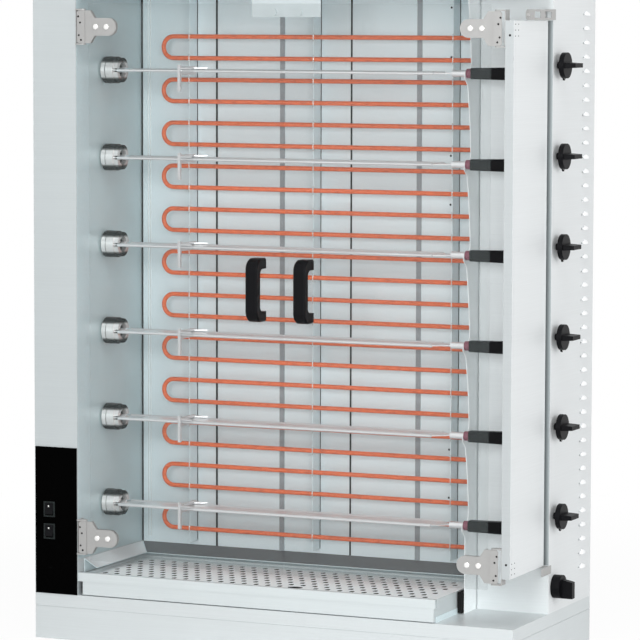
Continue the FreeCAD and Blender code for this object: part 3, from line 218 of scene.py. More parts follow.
# Colours
STEEL = (0.59, 0.64, 0.65, 1)
PILLAR_STEEL = (0.49, 0.53, 0.54, 1)
BASE_STEEL = (0.59, 0.63, 0.64, 1)
# Lighter copy of the steel for the switch bay: painted light
LIT_BAY_STEEL = (0.70, 0.74, 0.75, 1)
# Darker copy of the wing steel for its front flange: painted shade
SHADED_FLANGE_STEEL = (0.43, 0.46, 0.47, 1)
WING_STEEL = (0.69, 0.715, 0.725, 1)
# Near-white copy of the steel for the louvre hoods: painted highlight
LOUVRE_HIGHLIGHT = (0.93, 0.94, 0.95, 1)
LINING = (0.74, 0.85, 0.88, 1)
# Lighter copy of the lining for the right wall: painted light
LIT_RIGHT_LINING = (0.92, 0.96, 0.97, 1)
# Lighter copy of the lining for the drip grid: painted light
LIT_GRID_LINING = (0.93, 0.98, 0.99, 1)
# Darker copy of the lining for the pillar's inner wall: painted shade
SHADED_WALL_LINING = (0.52, 0.63, 0.655, 1)
RIB_LINING = (0.30, 0.335, 0.355, 1)
BRACKET_LINING = (0.50, 0.56, 0.575, 1)
# Painted shade on the back deflector's slope
DEFLECTOR_SHADE_GREY = (0.135, 0.14, 0.145, 1)
# Painted shade in the gap behind the wing, dark at the wing's edge and lighter away from it
GAP_SHADE_DARK = (0.13, 0.15, 0.155, 1)
GAP_SHADE_LIGHT = (0.36, 0.40, 0.41, 1)
PLATE = (0.36, 0.36, 0.355, 1)
CHROME = (0.80, 0.79, 0.78, 1)
ROD = (0.78, 0.79, 0.80, 1)
NICKEL = (0.72, 0.70, 0.66, 1)
# Nickel of the screws and clips, also used for the painted highlight on the wall folds
NICKEL_AND_FOLD_HIGHLIGHT = (0.86, 0.86, 0.84, 1)
CAST_GREY = (0.2, 0.2, 0.21, 1)
OILED_STEEL = (0.14, 0.14, 0.14, 1)
GLASS_TINT = (0.20, 0.235, 0.235, 1)
BLACK = (0.0035, 0.0036, 0.0045, 1)
PANEL_BLACK = (0.0012, 0.0012, 0.0012, 1)
# Dark screws, rivets and joints, and also painted shade in gaps, holes and recesses
DARK_PARTS_AND_SHADE_BLACK = (0.012, 0.012, 0.012, 1)
SWITCH_GREY = (0.016, 0.020, 0.020, 1)
WHITE_MARK = (0.75, 0.76, 0.74, 1)
COLLAR_RED = (0.20, 0.055, 0.085, 1)
ORANGE = (0.74, 0.145, 0.045, 1)
ORANGE_DARK = (0.46, 0.090, 0.032, 1)

# Noise scales per metre: rolled, galvanised, brushed, cast and moulded surfaces
SATIN = (6.0, 6.0, 900.0)
GALVANISED = (420.0, 420.0, 260.0)
BRUSHED_PLATE = (300.0, 20.0, 300.0)
FINE_GRAIN = (300.0, 300.0, 300.0)
BUSH_GRAIN = (200.0, 200.0, 200.0)
CAST_GRAIN = (90.0, 90.0, 90.0)
TURNED_GRAIN = (900.0, 90.0, 90.0)
DRAWN_GRAIN = (20.0, 900.0, 900.0)
MOULDED_GRAIN = (900.0, 900.0, 900.0)
SHEATH_GRAIN = (60.0, 220.0, 220.0)
GLASS_GRAIN = (3.0, 3.0, 3.0)
CLOUD_GRAIN = (2.4, 2.4, 1.7)
ROUGHNESS_SPREAD = 0.05
# Glow of the heating rods: painted light
PAINTED_GLOW = 0.04
GLASS_HAZE = (0.07, 0.09)

# Metres along one axis of the frame where a surface changes its tone
# Span where the painted shade behind the wing fades
GAP_SHADE_FADE = (0.5505, 0.5575)
FORK_SPAN = (-0.262, -0.222)
# Brightness at each share of the way across
FORK_SHADE = 0.85
FORK_BANDS = [(0.0, 1.0), (0.06, FORK_SHADE), (0.94, FORK_SHADE), (1.0, 1.0)]
# Dark bands at the top and bottom of each chuck drum: painted reflection
CHROME_REFLECTION_BANDS = [(0.0, 1.0), (0.5, 0.95), (0.6, 0.25), (0.7, 0.02), (0.9, 0.02), (1.0, 0.2)]
CHROME_TINT = 0.1


# Node helpers

def new_material(name):
    material = bpy.data.materials.new(name)
    material.use_nodes = True
    tree = material.node_tree
    return material, tree, tree.nodes["Principled BSDF"]


def add_node(tree, kind, **values):
    node = tree.nodes.new(kind)
    for key, value in values.items():
        if key in node.inputs:
            node.inputs[key].default_value = value
        else:
            setattr(node, key, value)
    return node


def grey(value):
    return (value, value, value, 1)


def shade(colour, factor):
    return tuple(channel * factor for channel in colour[:3]) + (1,)


def ramp(tree, source, stops):
    node = tree.nodes.new("ShaderNodeValToRGB")
    elements = node.color_ramp.elements
    for element, stop in ((elements[0], stops[0]), (elements[1], stops[-1])):
        element.position, element.color = stop
    for position, colour in stops[1:-1]:
        elements.new(position).color = colour
    tree.links.new(source, node.inputs["Fac"])
    return node.outputs["Color"]


def grey_ramp(tree, source, stops):
    return ramp(tree, source, [(position, grey(value)) for position, value in stops])


def grain(tree, scale, detail=4.0):
    spot = add_node(tree, "ShaderNodeTexCoord")
    stretch = add_node(tree, "ShaderNodeMapping")
    stretch.inputs["Scale"].default_value = scale
    tree.links.new(spot.outputs["Object"], stretch.inputs["Vector"])
    noise = add_node(tree, "ShaderNodeTexNoise", Scale=1.0, Detail=detail, Roughness=0.6)
    tree.links.new(stretch.outputs["Vector"], noise.inputs["Vector"])
    return noise.outputs["Fac"]


def along_axis(tree, axis):
    spot = add_node(tree, "ShaderNodeTexCoord")
    axes = add_node(tree, "ShaderNodeSeparateXYZ")
    tree.links.new(spot.outputs["Object"], axes.inputs["Vector"])
    return axes.outputs[axis]


def map_range(tree, source, start, end):
    node = add_node(tree, "ShaderNodeMapRange")
    node.inputs["From Min"].default_value = start
    node.inputs["From Max"].default_value = end
    tree.links.new(source, node.inputs["Value"])
    return node.outputs["Result"]


def math_node(tree, operation, first, second):
    node = add_node(tree, "ShaderNodeMath", operation=operation)
    for value, socket in ((first, node.inputs[0]), (second, node.inputs[1])):
        if isinstance(value, float):
            socket.default_value = value
        else:
            tree.links.new(value, socket)
    return node.outputs["Value"]


def bump(tree, shader, height, strength, distance):
    node = add_node(tree, "ShaderNodeBump", Strength=strength, Distance=distance)
    tree.links.new(height, node.inputs["Height"])
    tree.links.new(node.outputs["Normal"], shader.inputs["Normal"])


def multiply(tree, first, second):
    mix = add_node(tree, "ShaderNodeMix", data_type="RGBA", blend_type="MULTIPLY")
    mix.inputs["Factor"].default_value = 1.0
    tree.links.new(first, mix.inputs["A"])
    tree.links.new(second, mix.inputs["B"])
    return mix.outputs["Result"]


# Materials

def sheet_metal(name, colour, roughness, streaks, metallic=0.2, speckle=0.03, cloud=0.03):
    material, tree, shader = new_material(name)
    fine = grain(tree, streaks)
    broad = grain(tree, CLOUD_GRAIN, 2.0)
    low, high = shade(colour, 1 - speckle), shade(colour, 1 + speckle)
    tone = ramp(tree, fine, [(0.3, low), (0.7, high)])
    patch = grey_ramp(tree, broad, [(0.35, 1 - cloud), (0.65, 1.0)])
    tree.links.new(multiply(tree, tone, patch), shader.inputs["Base Color"])
    smooth, rough = roughness - ROUGHNESS_SPREAD, roughness + ROUGHNESS_SPREAD
    polish = grey_ramp(tree, fine, [(0.25, smooth), (0.75, rough)])
    tree.links.new(polish, shader.inputs["Roughness"])
    shader.inputs["Metallic"].default_value = metallic
    bump(tree, shader, fine, 0.05, 0.0004)
    return material


def shade_bands(material, source, stops):
    tree = material.node_tree
    shader = tree.nodes["Principled BSDF"]
    colour = shader.inputs["Base Color"].links[0].from_socket
    bands = grey_ramp(tree, source, stops)
    tree.links.new(multiply(tree, colour, bands), shader.inputs["Base Color"])
    return shader


# Chrome darkened towards the top and bottom of each drum: painted reflection
def chrome_with_painted_reflection():
    look = dict(metallic=0.5, speckle=0.02, cloud=0.0)
    material = sheet_metal("chrome", CHROME, 0.2, TURNED_GRAIN, **look)
    tree = material.node_tree
    rise = math_node(tree, "SUBTRACT", along_axis(tree, "Z"), SPIT_LEVELS[-1] / 1000)
    off_axis = math_node(tree, "PINGPONG", rise, SPIT_PITCH / 2000)
    share = math_node(tree, "DIVIDE", off_axis, DRUM_RADIUS / 1000)
    shader = shade_bands(material, share, CHROME_REFLECTION_BANDS)
    shader.inputs["Specular Tint"].default_value = grey(CHROME_TINT)
    return material


def rod_metal():
    material = sheet_metal("rod_steel", ROD, 0.32, DRAWN_GRAIN, metallic=0.75, cloud=0.0)
    tree = material.node_tree
    shade_bands(material, map_range(tree, along_axis(tree, "X"), *FORK_SPAN), FORK_BANDS)
    return material


# Painted shade in the gap behind the wing, fading from dark to light across it
def bay_gap_shade_metal():
    material, tree, shader = new_material("bay_gap_shade")
    across = map_range(tree, along_axis(tree, "X"), *GAP_SHADE_FADE)
    tone = ramp(tree, across, [(0.0, GAP_SHADE_DARK), (1.0, GAP_SHADE_LIGHT)])
    speck = grey_ramp(tree, grain(tree, GALVANISED), [(0.3, 0.94), (0.7, 1.0)])
    tree.links.new(multiply(tree, tone, speck), shader.inputs["Base Color"])
    shader.inputs["Roughness"].default_value = 0.5
    return material


def plastic(name, colour, roughness, specular=0.3):
    material, tree, shader = new_material(name)
    speck = grain(tree, MOULDED_GRAIN, 2.0)
    tone = ramp(tree, speck, [(0.3, shade(colour, 0.8)), (0.7, shade(colour, 1.25))])
    tree.links.new(tone, shader.inputs["Base Color"])
    shader.inputs["Roughness"].default_value = roughness
    shader.inputs["Specular IOR Level"].default_value = specular
    bump(tree, shader, speck, 0.06, 0.0002)
    return material


# Orange sheath with a faint glow: painted light
def hot_element():
    material, tree, shader = new_material("painted_glow_sheath")
    mottle = grain(tree, SHEATH_GRAIN, 3.0)
    tone = ramp(tree, mottle, [(0.25, ORANGE_DARK), (0.5, ORANGE), (0.8, shade(ORANGE, 1.15))])
    tree.links.new(tone, shader.inputs["Base Color"])
    tree.links.new(tone, shader.inputs["Emission Color"])
    shader.inputs["Emission Strength"].default_value = PAINTED_GLOW
    shader.inputs["Roughness"].default_value = 0.45
    shader.inputs["Specular IOR Level"].default_value = 0.35
    bump(tree, shader, mottle, 0.1, 0.0004)
    return material


def door_glass():
    material, tree, shader = new_material("door_glass")
    haze = grain(tree, GLASS_GRAIN, 2.0)
    alpha = grey_ramp(tree, haze, [(0.3, GLASS_HAZE[0]), (0.7, GLASS_HAZE[1])])
    tree.links.new(alpha, shader.inputs["Alpha"])
    shader.inputs["Base Color"].default_value = GLASS_TINT
    shader.inputs["Roughness"].default_value = 0.05
    shader.inputs["Specular IOR Level"].default_value = 0.3
    return material


def galvanised(name, colour, roughness=0.42, metallic=0.2, speckle=0.05, cloud=0.05):
    return sheet_metal(name, colour, roughness, GALVANISED, metallic, speckle, cloud)


# One material for each slot of the record
MATERIALS = {
    "cabinet_steel": sheet_metal("cabinet_sheet", STEEL, 0.42, SATIN),
    "wing_steel": sheet_metal("wing_sheet", WING_STEEL, 0.45, SATIN, metallic=0.1),
    "lining_steel": galvanised("lining_sheet", LINING, 0.40, cloud=0.06),
    "bright_steel": sheet_metal("plate_steel", PLATE, 0.38, BRUSHED_PLATE, metallic=0.1),
    "gloss_black": plastic("panel_black", PANEL_BLACK, 0.4, specular=0.0),
    "black_plastic": plastic("black_plastic", BLACK, 0.42, specular=0.09),
    "hot_element": hot_element(),
    "door_glass": door_glass(),
    "bush_bronze": sheet_metal("bush_metal", NICKEL, 0.3, BUSH_GRAIN, metallic=0.8),
    "motor_grey": sheet_metal("motor_casting", CAST_GREY, 0.55, CAST_GRAIN, metallic=0.6),
    "chain_steel": sheet_metal("oiled_steel", OILED_STEEL, 0.35, FINE_GRAIN, metallic=0.9),
}
CHROME_METAL = chrome_with_painted_reflection()
SHADED_SIDE_LINING = galvanised("shaded_side_lining", SHADED_WALL_LINING, speckle=0.06, cloud=0.12)
DEFLECTOR_SHADE_LINING = galvanised("deflector_shade_lining", DEFLECTOR_SHADE_GREY, 0.45, metallic=0.3, speckle=0.08)
# Lighter copy of the lining for the left deflector: painted light
LIT_DEFLECTOR_LINING = galvanised("lit_deflector_lining", WING_STEEL, speckle=0.04, cloud=0.03)
GAP_SHADE_METAL = bay_gap_shade_metal()
RIB_METAL = galvanised("rib_sheet", RIB_LINING, 0.45)
# Near-white louvre hoods: painted highlight
LOUVRE_HIGHLIGHT_METAL = sheet_metal("louvre_highlight_sheet", LOUVRE_HIGHLIGHT, 0.5, SATIN, metallic=0.0)
SHADED_FLANGE_METAL = sheet_metal("shaded_flange_sheet", SHADED_FLANGE_STEEL, 0.5, SATIN, metallic=0.0)
ROD_METAL = rod_metal()
SWITCH_PLASTIC = plastic("switch_plastic", SWITCH_GREY, 0.4, specular=0.1)
MARK_PAINT = plastic("mark_paint", WHITE_MARK, 0.5)
COLLAR_PAINT = plastic("collar_red", COLLAR_RED, 0.45)
# Dark screws, rivets and joints, and also painted shade
DARK_PARTS_AND_SHADE = plastic("dark_parts_and_shade", DARK_PARTS_AND_SHADE_BLACK, 0.6, specular=0.05)
SCREW_METAL_AND_FOLD_HIGHLIGHT = sheet_metal("screw_nickel_and_fold_highlight", NICKEL_AND_FOLD_HIGHLIGHT, 0.22, FINE_GRAIN, metallic=0.5)

# Nodes whose look differs from the rest of their slot
OWN_MATERIAL = {
    "switch_housings": SWITCH_PLASTIC,
    "base_plinth": sheet_metal("base_sheet", BASE_STEEL, 0.42, SATIN),
    "left_pillar": sheet_metal("pillar_sheet", PILLAR_STEEL, 0.42, SATIN),
    # Lighter copy for the drip grid: painted light
    "drip_grid": galvanised("lit_grid_sheet", LIT_GRID_LINING, 0.45, metallic=0.0),
    # Lighter copy for the switch bay: painted light
    "switch_box": sheet_metal("lit_bay_sheet", LIT_BAY_STEEL, 0.42, SATIN),
    # Lighter copy for the right wall: painted light
    "right_wall": galvanised("lit_right_lining", LIT_RIGHT_LINING, metallic=0.1),
    "door_catch_bracket": galvanised("bracket_sheet", BRACKET_LINING, 0.5, 0.1, 0.04, 0.03),
}
for number in range(1, len(SPIT_LEVELS) + 1):
    OWN_MATERIAL["chuck_%d" % number] = CHROME_METAL
    OWN_MATERIAL["spit_%d" % number] = ROD_METAL


def dress_nodes():
    slots = {entry["node"]: entry["material_slot"] for entry in frame["record"]["subparts"]}
    for name, node in frame["nodes"].items():
        node.data.materials.clear()
        node.data.materials.append(OWN_MATERIAL.get(name, MATERIALS[slots[name]]))


# Mesh helpers, with places and radii in millimetres as the cabinet sizes above

def place(x, y, z):
    return Vector(((x - PART_CENTRE[0]) / 1000, (y - PART_CENTRE[1]) / 1000, z / 1000))


def add_piece(name, vertices, faces, material, body, slot, smooth=False):
    mesh = bpy.data.meshes.new(name)
    mesh.from_pydata([tuple(v) for v in vertices], [], faces)
    mesh.validate()
    mesh.update()
    if smooth:
        mesh.shade_smooth()
    mesh.materials.append(material)
    piece = bpy.data.objects.new(name, mesh)
    bpy.context.scene.collection.objects.link(piece)
    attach(piece, body)
    return piece


def join(parts):
    vertices = []
    faces = []
    for part_vertices, part_faces in parts:
        start = len(vertices)
        vertices += part_vertices
        faces += [tuple(start + i for i in face) for face in part_faces]
    return vertices, faces


def tube(path, radius, sides, closed=False):
    count = len(path)
    vertices = []
    normal = None
    for i, centre in enumerate(path):
        before = path[i - 1] if i > 0 or closed else centre
        after = path[(i + 1) % count] if i < count - 1 or closed else centre
        along = (after - before).normalized()
        if normal is None:
            normal = along.orthogonal().normalized()
        normal = (normal - along * normal.dot(along)).normalized()
        side = along.cross(normal)
        for k in range(sides):
            angle = 2 * math.pi * k / sides
            offset = normal * math.cos(angle) + side * math.sin(angle)
            vertices.append(centre + offset * (radius / 1000))
    faces = []
    for i in range(count if closed else count - 1):
        a = i * sides
        b = (i + 1) % count * sides
        for k in range(sides):
            n = (k + 1) % sides
            faces.append((a + k, a + n, b + n, b + k))
    if not closed:
        faces.append(tuple(reversed(range(sides))))
        faces.append(tuple(range((count - 1) * sides, count * sides)))
    return vertices, faces


def turned(profile, centre, axis, sides=20):
    axis = Vector(axis)
    first = axis.orthogonal().normalized()
    second = axis.cross(first)
    vertices = []
    for radius, reach in profile:
        for k in range(sides):
            angle = 2 * math.pi * k / sides
            across = (first * math.cos(angle) + second * math.sin(angle)) * radius
            vertices.append(centre + (across + axis * reach) / 1000)
    faces = []
    for i in range(len(profile) - 1):
        a = i * sides
        b = a + sides
        for k in range(sides):
            n = (k + 1) % sides
            faces.append((a + k, a + n, b + n, b + k))
    last = (len(profile) - 1) * sides
    faces.append(tuple(reversed(range(sides))))
    faces.append(tuple(range(last, last + sides)))
    return vertices, faces


def block(low, high):
    xs, ys, zs = zip(low, high)
    corners = [place(x, y, z) for x in xs for y in ys for z in zs]
    faces = [(0, 1, 3, 2), (4, 6, 7, 5), (0, 4, 5, 1), (2, 3, 7, 6), (0, 2, 6, 4), (1, 5, 7, 3)]
    return corners, faces


def prism(low, high):
    count = len(low)
    faces = [tuple(reversed(range(count))), tuple(range(count, 2 * count))]
    for i in range(count):
        n = (i + 1) % count
        faces.append((i, n, n + count, i + count))
    return [place(*corner) for corner in low + high], faces


def plate(corners, thickness):
    return prism(corners, [(x, y, z + thickness) for x, y, z in corners])


def oval(x, y, half, sides=12):
    corners = []
    for k in range(sides):
        angle = 2 * math.pi * k / sides
        corners.append((x + half[0] * math.cos(angle), y + half[1] * math.sin(angle), SHADE_LEVEL))
    return plate(corners, SHADE_THICKNESS)


def ring_path(x, y, z, radius, count=16):
    path = []
    for i in range(count):
        angle = 2 * math.pi * i / count
        path.append(place(x, y + radius * math.cos(angle), z + radius * math.sin(angle)))
    return path


# Heating rods and their clips

def rod_levels():
    return [ELEMENT_FIRST + ELEMENT_PITCH * i for i in range(ELEMENT_COUNT)]


def heating_rods():
    bend = ELEMENT_LEG / 2
    rods = []
    for level in rod_levels():
        path = [place(ELEMENT_END_X, ELEMENT_INSET, level)]
        for i in range(ELEMENT_BEND_STEPS + 1):
            angle = math.pi * i / ELEMENT_BEND_STEPS
            x = ELEMENT_BEND_X - bend * math.sin(angle)
            path.append(place(x, ELEMENT_INSET, level + bend - bend * math.cos(angle)))
        path.append(place(ELEMENT_END_X, ELEMENT_INSET, level + ELEMENT_LEG))
        rods.append(tube(path, ROD_RADIUS, ROD_SIDES))
    material = MATERIALS["hot_element"]
    piece = add_piece("heating_rods", *join(rods), material, "cabinet", "hot_element", True)
    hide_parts("heating_elements")


def element_clips():
    parts = []
    for x in COMB_CENTRES:
        for level in rod_levels():
            for z in (level, level + ELEMENT_LEG):
                ring = ring_path(x, ELEMENT_INSET, z, ROD_RADIUS + CLIP_GAP)
                parts.append(tube(ring, CLIP_WIRE, WIRE_SIDES, True))
                pin = [place(x, y, z + rise) for y, rise in PIN_BENDS]
                parts.append(tube(pin, PIN_WIRE, WIRE_SIDES))
    add_piece("element_clips", *join(parts), SCREW_METAL_AND_FOLD_HIGHLIGHT, "cabinet", "lining_steel", True)


# Hinges, fasteners and catches

def hinge_covers():
    low, high = COVER_REACH
    half = COVER_HALF
    corner = COVER_CORNER
    outline = [(high, -half), (high, half), (low + corner, half),
               (low, half - corner), (low, corner - half), (low + corner, -half)]
    for door, hinge_x, side in HINGES:
        covers = []
        for level in HINGE_LEVELS:
            far, near = [[(hinge_x + side * x, y, level + z) for x, z in outline]
                         for y in (COVER_BACK, COVER_FACE)]
            covers.append(prism(far, near))
        material = MATERIALS["bright_steel"]
        add_piece(door + "_hinge_covers", *join(covers), material, door + "_door", "bright_steel")


def hinge_screws():
    forward = (0, -1, 0)
    for door, hinge_x, side in HINGES:
        caps = []
        dots = []
        for level in HINGE_LEVELS:
            for reach in HINGE_SCREWS:
                seat = place(hinge_x + side * reach, HINGE_FACE, level)
                caps.append(turned(DOME, seat, forward))
            for reach, rise in COVER_DOTS:
                seat = place(hinge_x + side * reach, COVER_FACE, level + rise)
                dots.append(turned(SMALL_DOME, seat, forward, 12))
        body = door + "_door"
        add_piece(door + "_hinge_caps", *join(caps), SCREW_METAL_AND_FOLD_HIGHLIGHT, body, "bright_steel", True)
        add_piece(door + "_hinge_dots", *join(dots), DARK_PARTS_AND_SHADE, body, "bright_steel", True)


def wing_screws():
    dots = []
    for z in WING_BOLT_LEVELS:
        dots.append(turned(WING_BOLT, place(WING_BOLT_X, 0.0, z), (0, -1, 0), 14))
    for levels in WING_RIVET_LEVELS:
        for y in WING_RIVET_Y:
            for z in levels:
                dots.append(turned(WING_RIVET, place(WING_SIDE_X, y, z), (1, 0, 0), 10))
    add_piece("wing_rivets", *join(dots), DARK_PARTS_AND_SHADE, "wing", "wing_steel", True)


def wall_screws():
    dots = []
    for z in WALL_SCREW_LEVELS:
        dots.append(turned(WALL_SCREW, place(WALL_SCREW_X, BACK_WALL_Y, z), (0, -1, 0), 12))
    add_piece("wall_screws", *join(dots), DARK_PARTS_AND_SHADE, "cabinet", "lining_steel", True)
    foot, top = FOLD_SPAN
    # Bright strips along the folds: painted highlight
    fold_highlights = [block((x, FOLD_FRONT, foot), (x + FOLD_WIDTH, BACK_WALL_Y, top)) for x in FOLD_LEFTS]
    add_piece("wall_fold_highlights", *join(fold_highlights), SCREW_METAL_AND_FOLD_HIGHLIGHT, "cabinet", "lining_steel")


# Dark crescents beside the catches: painted shade
def catch_shade_crescents():
    arcs = []
    inner_x, inner_z = CRESCENT_INNER
    for x in (MEETING_X - CATCH_OFFSET, MEETING_X + CATCH_OFFSET):
        vertices = []
        for y in CRESCENT_FACES:
            for k in range(CRESCENT_STEPS + 1):
                angle = math.pi * (k / CRESCENT_STEPS - 0.5) * CRESCENT_TURN
                across, up = math.cos(angle), math.sin(angle)
                outer = (x + CRESCENT_OUTER * across, y, CATCH_LEVEL + CRESCENT_OUTER * up)
                inner = (x + inner_x * across - CRESCENT_SHIFT, y, CATCH_LEVEL + inner_z * up)
                vertices += [place(*outer), place(*inner)]
        back = 2 * (CRESCENT_STEPS + 1)
        end = 2 * CRESCENT_STEPS
        faces = []
        for a in range(0, end, 2):
            faces.append((a, a + 2, a + 3, a + 1))
            faces.append((back + a, back + a + 1, back + a + 3, back + a + 2))
            faces.append((a, back + a, back + a + 2, a + 2))
            faces.append((a + 1, a + 3, back + a + 3, back + a + 1))
        faces.append((0, 1, back + 1, back))
        faces.append((end, back + end, back + end + 1, end + 1))
        arcs.append((vertices, faces))
    add_piece("catch_shade_crescents", *join(arcs), DARK_PARTS_AND_SHADE, "cabinet", "lining_steel")


# Skins and trims: painted shade and painted light on the sheet metal, with its dark joints and rib
# faces

def chamber_linings():
    # Darker skin on the pillar's inner wall: painted shade
    shade_skin = block(*PILLAR_SHADE_SKIN)
    add_piece("pillar_shade_skin", *shade_skin, SHADED_SIDE_LINING, "cabinet", "lining_steel")
    # Dark skin on the back deflector's slope: painted shade
    back = plate(DEFLECTOR_BACK_SHADE, SKIN)
    add_piece("deflector_back_shade", *back, DEFLECTOR_SHADE_LINING, "cabinet", "lining_steel")
    # Pale skin on the left deflector: painted light
    left = plate(DEFLECTOR_LEFT_LIGHT, SKIN)
    add_piece("deflector_left_light", *left, LIT_DEFLECTOR_LINING, "cabinet", "lining_steel")
    # Dark blocks in the gaps beside the drawer: painted shade
    gap_shades = [block(low, high) for low, high in DRAWER_GAP_SHADES]
    add_piece("drawer_gap_shades", *join(gap_shades), DARK_PARTS_AND_SHADE, "cabinet", "lining_steel")


def wall_trims():
    foot, top = WALL_SPAN
    front, back = RIB_FACES
    ribs = [block((x, front, foot), (x + RIB_WIDTH, back, top)) for x in RIB_LEFTS]
    add_piece("wall_rib_faces", *join(ribs), RIB_METAL, "cabinet", "lining_steel")
    front, back = JOINT_FACES
    joints = []
    for x, wide in WALL_JOINTS:
        joints.append(block((x - wide / 2, front, foot), (x + wide / 2, back, top)))
    start, end = COMB_EDGE
    for x in COMB_CENTRES:
        joints.append(block((x + start, COMB_EDGE_FRONT, COMB_EDGE_FOOT), (x + end, back, top)))
    add_piece("wall_joints", *join(joints), DARK_PARTS_AND_SHADE, "cabinet", "lining_steel")


def bay_trims():
    # Darker skin over the wing's front flange: painted shade
    flange = block(*WING_FLANGE_SHADE)
    add_piece("wing_flange_shade", *flange, SHADED_FLANGE_METAL, "wing", "wing_steel")
    # Dark strip in the gap behind the wing: painted shade
    strip = block(*BAY_GAP_SHADE)
    add_piece("bay_gap_shade", *strip, GAP_SHADE_METAL, "cabinet", "cabinet_steel")


# Dark discs under the grid's holes and finger hole: painted shade
def grid_hole_shades():
    shades = [oval(MEETING_X, FINGER_Y, FINGER_HALF, FINGER_SIDES)]
    for row in range(GRID_ROWS):
        odd = row % 2
        y = GRID_FIRST[1] + GRID_PITCH * row
        for column in range(GRID_COLUMNS + odd):
            x = GRID_FIRST[0] + GRID_PITCH * (column + 0.5 * (1 - odd))
            beside = abs(x - MEETING_X) > FINGER_CLEAR[0]
            if beside or abs(y - FINGER_Y) > FINGER_CLEAR[1]:
                shades.append(oval(x, y, HOLE_HALF))
    add_piece("grid_hole_shades", *join(shades), DARK_PARTS_AND_SHADE, "drip_tray", "lining_steel")


def louvre_hoods():
    width = LOUVRE_ACROSS + 1
    hoods = []
    for i in range(LOUVRE_COUNT):
        level = LOUVRE_FIRST + LOUVRE_PITCH * i
        vertices = []
        for j in range(LOUVRE_RISE + 1):
            up = math.pi / 2 * j / LOUVRE_RISE
            narrow = LOUVRE_TOP_SHARE + (1 - LOUVRE_TOP_SHARE) * math.cos(up)
            for k in range(width):
                turn = math.pi * k / LOUVRE_ACROSS
                x = LOUVRE_ROOT_X + LOUVRE_DEPTH * math.sin(turn) * math.cos(up)
                y = LOUVRE_Y - LOUVRE_HALF * math.cos(turn) * narrow
                z = level + LOUVRE_HEIGHT * math.sin(up) * math.sin(turn) ** 0.5
                vertices.append(place(x, y, z))
        faces = []
        for j in range(LOUVRE_RISE):
            for k in range(LOUVRE_ACROSS):
                a = j * width + k
                faces.append((a, a + 1, a + width + 1, a + width))
        hoods.append((vertices, faces))
    # The hoods are near white: painted highlight on their tops
    add_piece("louvre_hoods", *join(hoods), LOUVRE_HIGHLIGHT_METAL, "cabinet", "wing_steel", True)


# Spits, knobs and switches

def spit_details():
    sideways = (1, 0, 0)
    for number, level in enumerate(SPIT_LEVELS, 1):
        body = "spit_set_%d" % number
        collar = turned(COLLAR, place(COLLAR_X, SPIT_Y, level), sideways, ROUND_SIDES)
        name = "spit_collar_%d" % number
        add_piece(name, *collar, COLLAR_PAINT, body, "black_plastic", True)
        groove = ring_path(GROOVE_X, SPIT_Y, level, DRUM_RADIUS, GROOVE_STEPS)
        rings = [tube(groove, GROOVE_WIRE, WIRE_SIDES, True)]
        # Dark seam line on the drum, and a dark ring on its face: painted shade
        rings.append(turned(RECESS, place(DRUM_FACE_X, SPIT_Y, level), sideways, ROUND_SIDES))
        name = "chuck_grooves_%d" % number
        add_piece(name, *join(rings), DARK_PARTS_AND_SHADE, body, "bright_steel", True)


def knob_marks():
    for number, level in enumerate(SPIT_LEVELS, 1):
        rim = level + KNOB_RISE - KNOB_RADIUS
        corners = [place(KNOB_MARK_X, KNOB_Y - KNOB_MARK_HALF, rim + KNOB_MARK_ROOT),
                   place(KNOB_MARK_X, KNOB_Y + KNOB_MARK_HALF, rim + KNOB_MARK_ROOT),
                   place(KNOB_MARK_X, KNOB_Y, rim - KNOB_MARK_TIP)]
        outline = tube(corners, KNOB_MARK_WIRE, WIRE_SIDES, True)
        name, body = "knob_mark_%d" % number, "heat_knob_%d" % number
        add_piece(name, *outline, MARK_PAINT, body, "black_plastic", True)


def rocker_marks():
    for number, level in enumerate(ROCKER_LEVELS, 1):
        bar = block(*[(x, y, level + rise) for x, y, rise in ROCKER_MARK])
        name, body = "rocker_mark_%d" % number, "rocker_%d_key" % number
        add_piece(name, *bar, MARK_PAINT, body, "black_plastic")


# Camera and studio

def add_camera():
    data = bpy.data.cameras.new("photo_camera")
    data.lens = CAMERA_LENS
    data.sensor_width = CAMERA_SENSOR
    data.clip_end = CAMERA_REACH
    camera = bpy.data.objects.new("photo_camera", data)
    bpy.context.scene.collection.objects.link(camera)
    turn = Matrix.Rotation(math.radians(CAMERA_AZIMUTH), 4, "Z")
    tilt = Matrix.Rotation(math.radians(90 - CAMERA_DROP), 4, "X")
    roll = Matrix.Rotation(math.radians(CAMERA_ROLL), 4, "Z")
    camera.matrix_world = Matrix.Translation(CAMERA_PLACE) @ turn @ tilt @ roll
    bpy.context.scene.camera = camera


def add_light(name, spot, target, size, power):
    data = bpy.data.lights.new(name, "AREA")
    data.shape = "RECTANGLE"
    data.size = size[0]
    data.size_y = size[1]
    data.energy = power
    light = bpy.data.objects.new(name, data)
    bpy.context.scene.collection.objects.link(light)
    aim = (Vector(target) - Vector(spot)).to_track_quat("-Z", "Y").to_matrix().to_4x4()
    light.matrix_world = Matrix.Translation(spot) @ aim


def background_rays(tree):
    path = add_node(tree, "ShaderNodeLightPath")
    seen = math_node(tree, "MAXIMUM", path.outputs["Is Camera Ray"], path.outputs["Is Glossy Ray"])
    return math_node(tree, "MAXIMUM", seen, path.outputs["Is Transmission Ray"])


def mix_shaders(tree, share, first, second, output):
    mix = add_node(tree, "ShaderNodeMixShader")
    tree.links.new(share, mix.inputs["Fac"])
    tree.links.new(first, mix.inputs[1])
    tree.links.new(second, mix.inputs[2])
    tree.links.new(mix.outputs["Shader"], tree.nodes[output].inputs["Surface"])


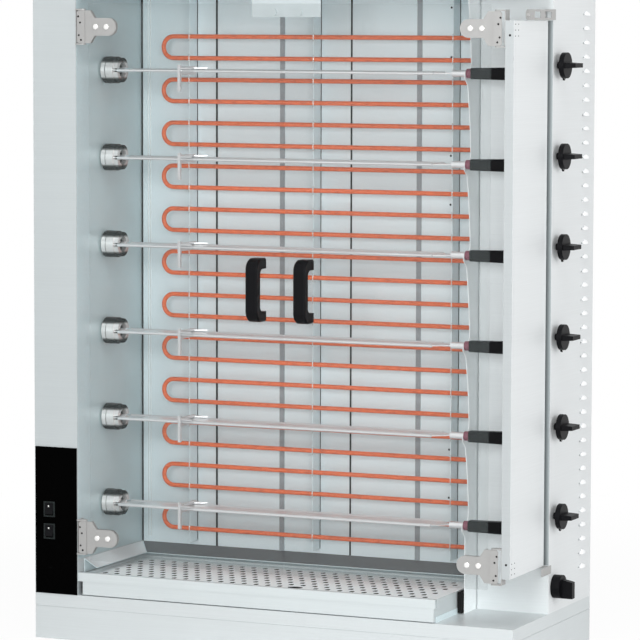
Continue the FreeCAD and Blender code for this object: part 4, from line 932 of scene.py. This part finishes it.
def floor_material():
    material, tree, shader = new_material("pale_floor")
    stops = [(0.3, FLOOR_TONES[0]), (0.7, FLOOR_TONES[1])]
    tone = grey_ramp(tree, grain(tree, FLOOR_GRAIN, 2.0), stops)
    tree.links.new(tone, shader.inputs["Base Color"])
    shader.inputs["Roughness"].default_value = 0.8
    shader.inputs["Specular IOR Level"].default_value = 0.1
    spot = add_node(tree, "ShaderNodeTexCoord")
    length = add_node(tree, "ShaderNodeVectorMath", operation="LENGTH")
    tree.links.new(spot.outputs["Object"], length.inputs[0])
    fade = add_node(tree, "ShaderNodeMapRange", interpolation_type="SMOOTHSTEP")
    fade.inputs["From Min"].default_value = FLOOR_FADE[0]
    fade.inputs["From Max"].default_value = FLOOR_FADE[1]
    fade.inputs["To Min"].default_value = FLOOR_WHITE_NEAR
    tree.links.new(length.outputs["Value"], fade.inputs["Value"])
    share = math_node(tree, "MULTIPLY", fade.outputs["Result"], background_rays(tree))
    white = add_node(tree, "ShaderNodeEmission", Strength=WHITE_STRENGTH)
    mix_shaders(tree, share, shader.outputs["BSDF"], white.outputs["Emission"], "Material Output")
    return material


def add_floor():
    mesh = bpy.data.meshes.new("studio_floor")
    half = FLOOR_HALF
    corners = [(-half, -half, 0), (half, -half, 0), (half, half, 0), (-half, half, 0)]
    mesh.from_pydata(corners, [], [(0, 1, 2, 3)])
    floor = bpy.data.objects.new("studio_floor", mesh)
    bpy.context.scene.collection.objects.link(floor)
    mesh.materials.append(floor_material())


def add_world():
    world = bpy.data.worlds.new("studio")
    world.use_nodes = True
    tree = world.node_tree
    light = tree.nodes["Background"]
    seen = add_node(tree, "ShaderNodeBackground")
    for node, strength in ((light, WORLD_STRENGTH), (seen, WHITE_STRENGTH)):
        node.inputs["Color"].default_value = grey(1.0)
        node.inputs["Strength"].default_value = strength
    sockets = light.outputs["Background"], seen.outputs["Background"]
    mix_shaders(tree, background_rays(tree), *sockets, "World Output")
    bpy.context.scene.world = world


def add_studio():
    add_floor()
    for lamp in LAMPS:
        add_light(*lamp)
    add_world()
    bpy.context.scene.view_settings.view_transform = "Standard"


dress_nodes()
heating_rods()
element_clips()
hinge_covers()
hinge_screws()
chamber_linings()
wall_trims()
bay_trims()
grid_hole_shades()
catch_shade_crescents()
louvre_hoods()
spit_details()
wing_screws()
wall_screws()
knob_marks()
rocker_marks()
add_camera()
add_studio()
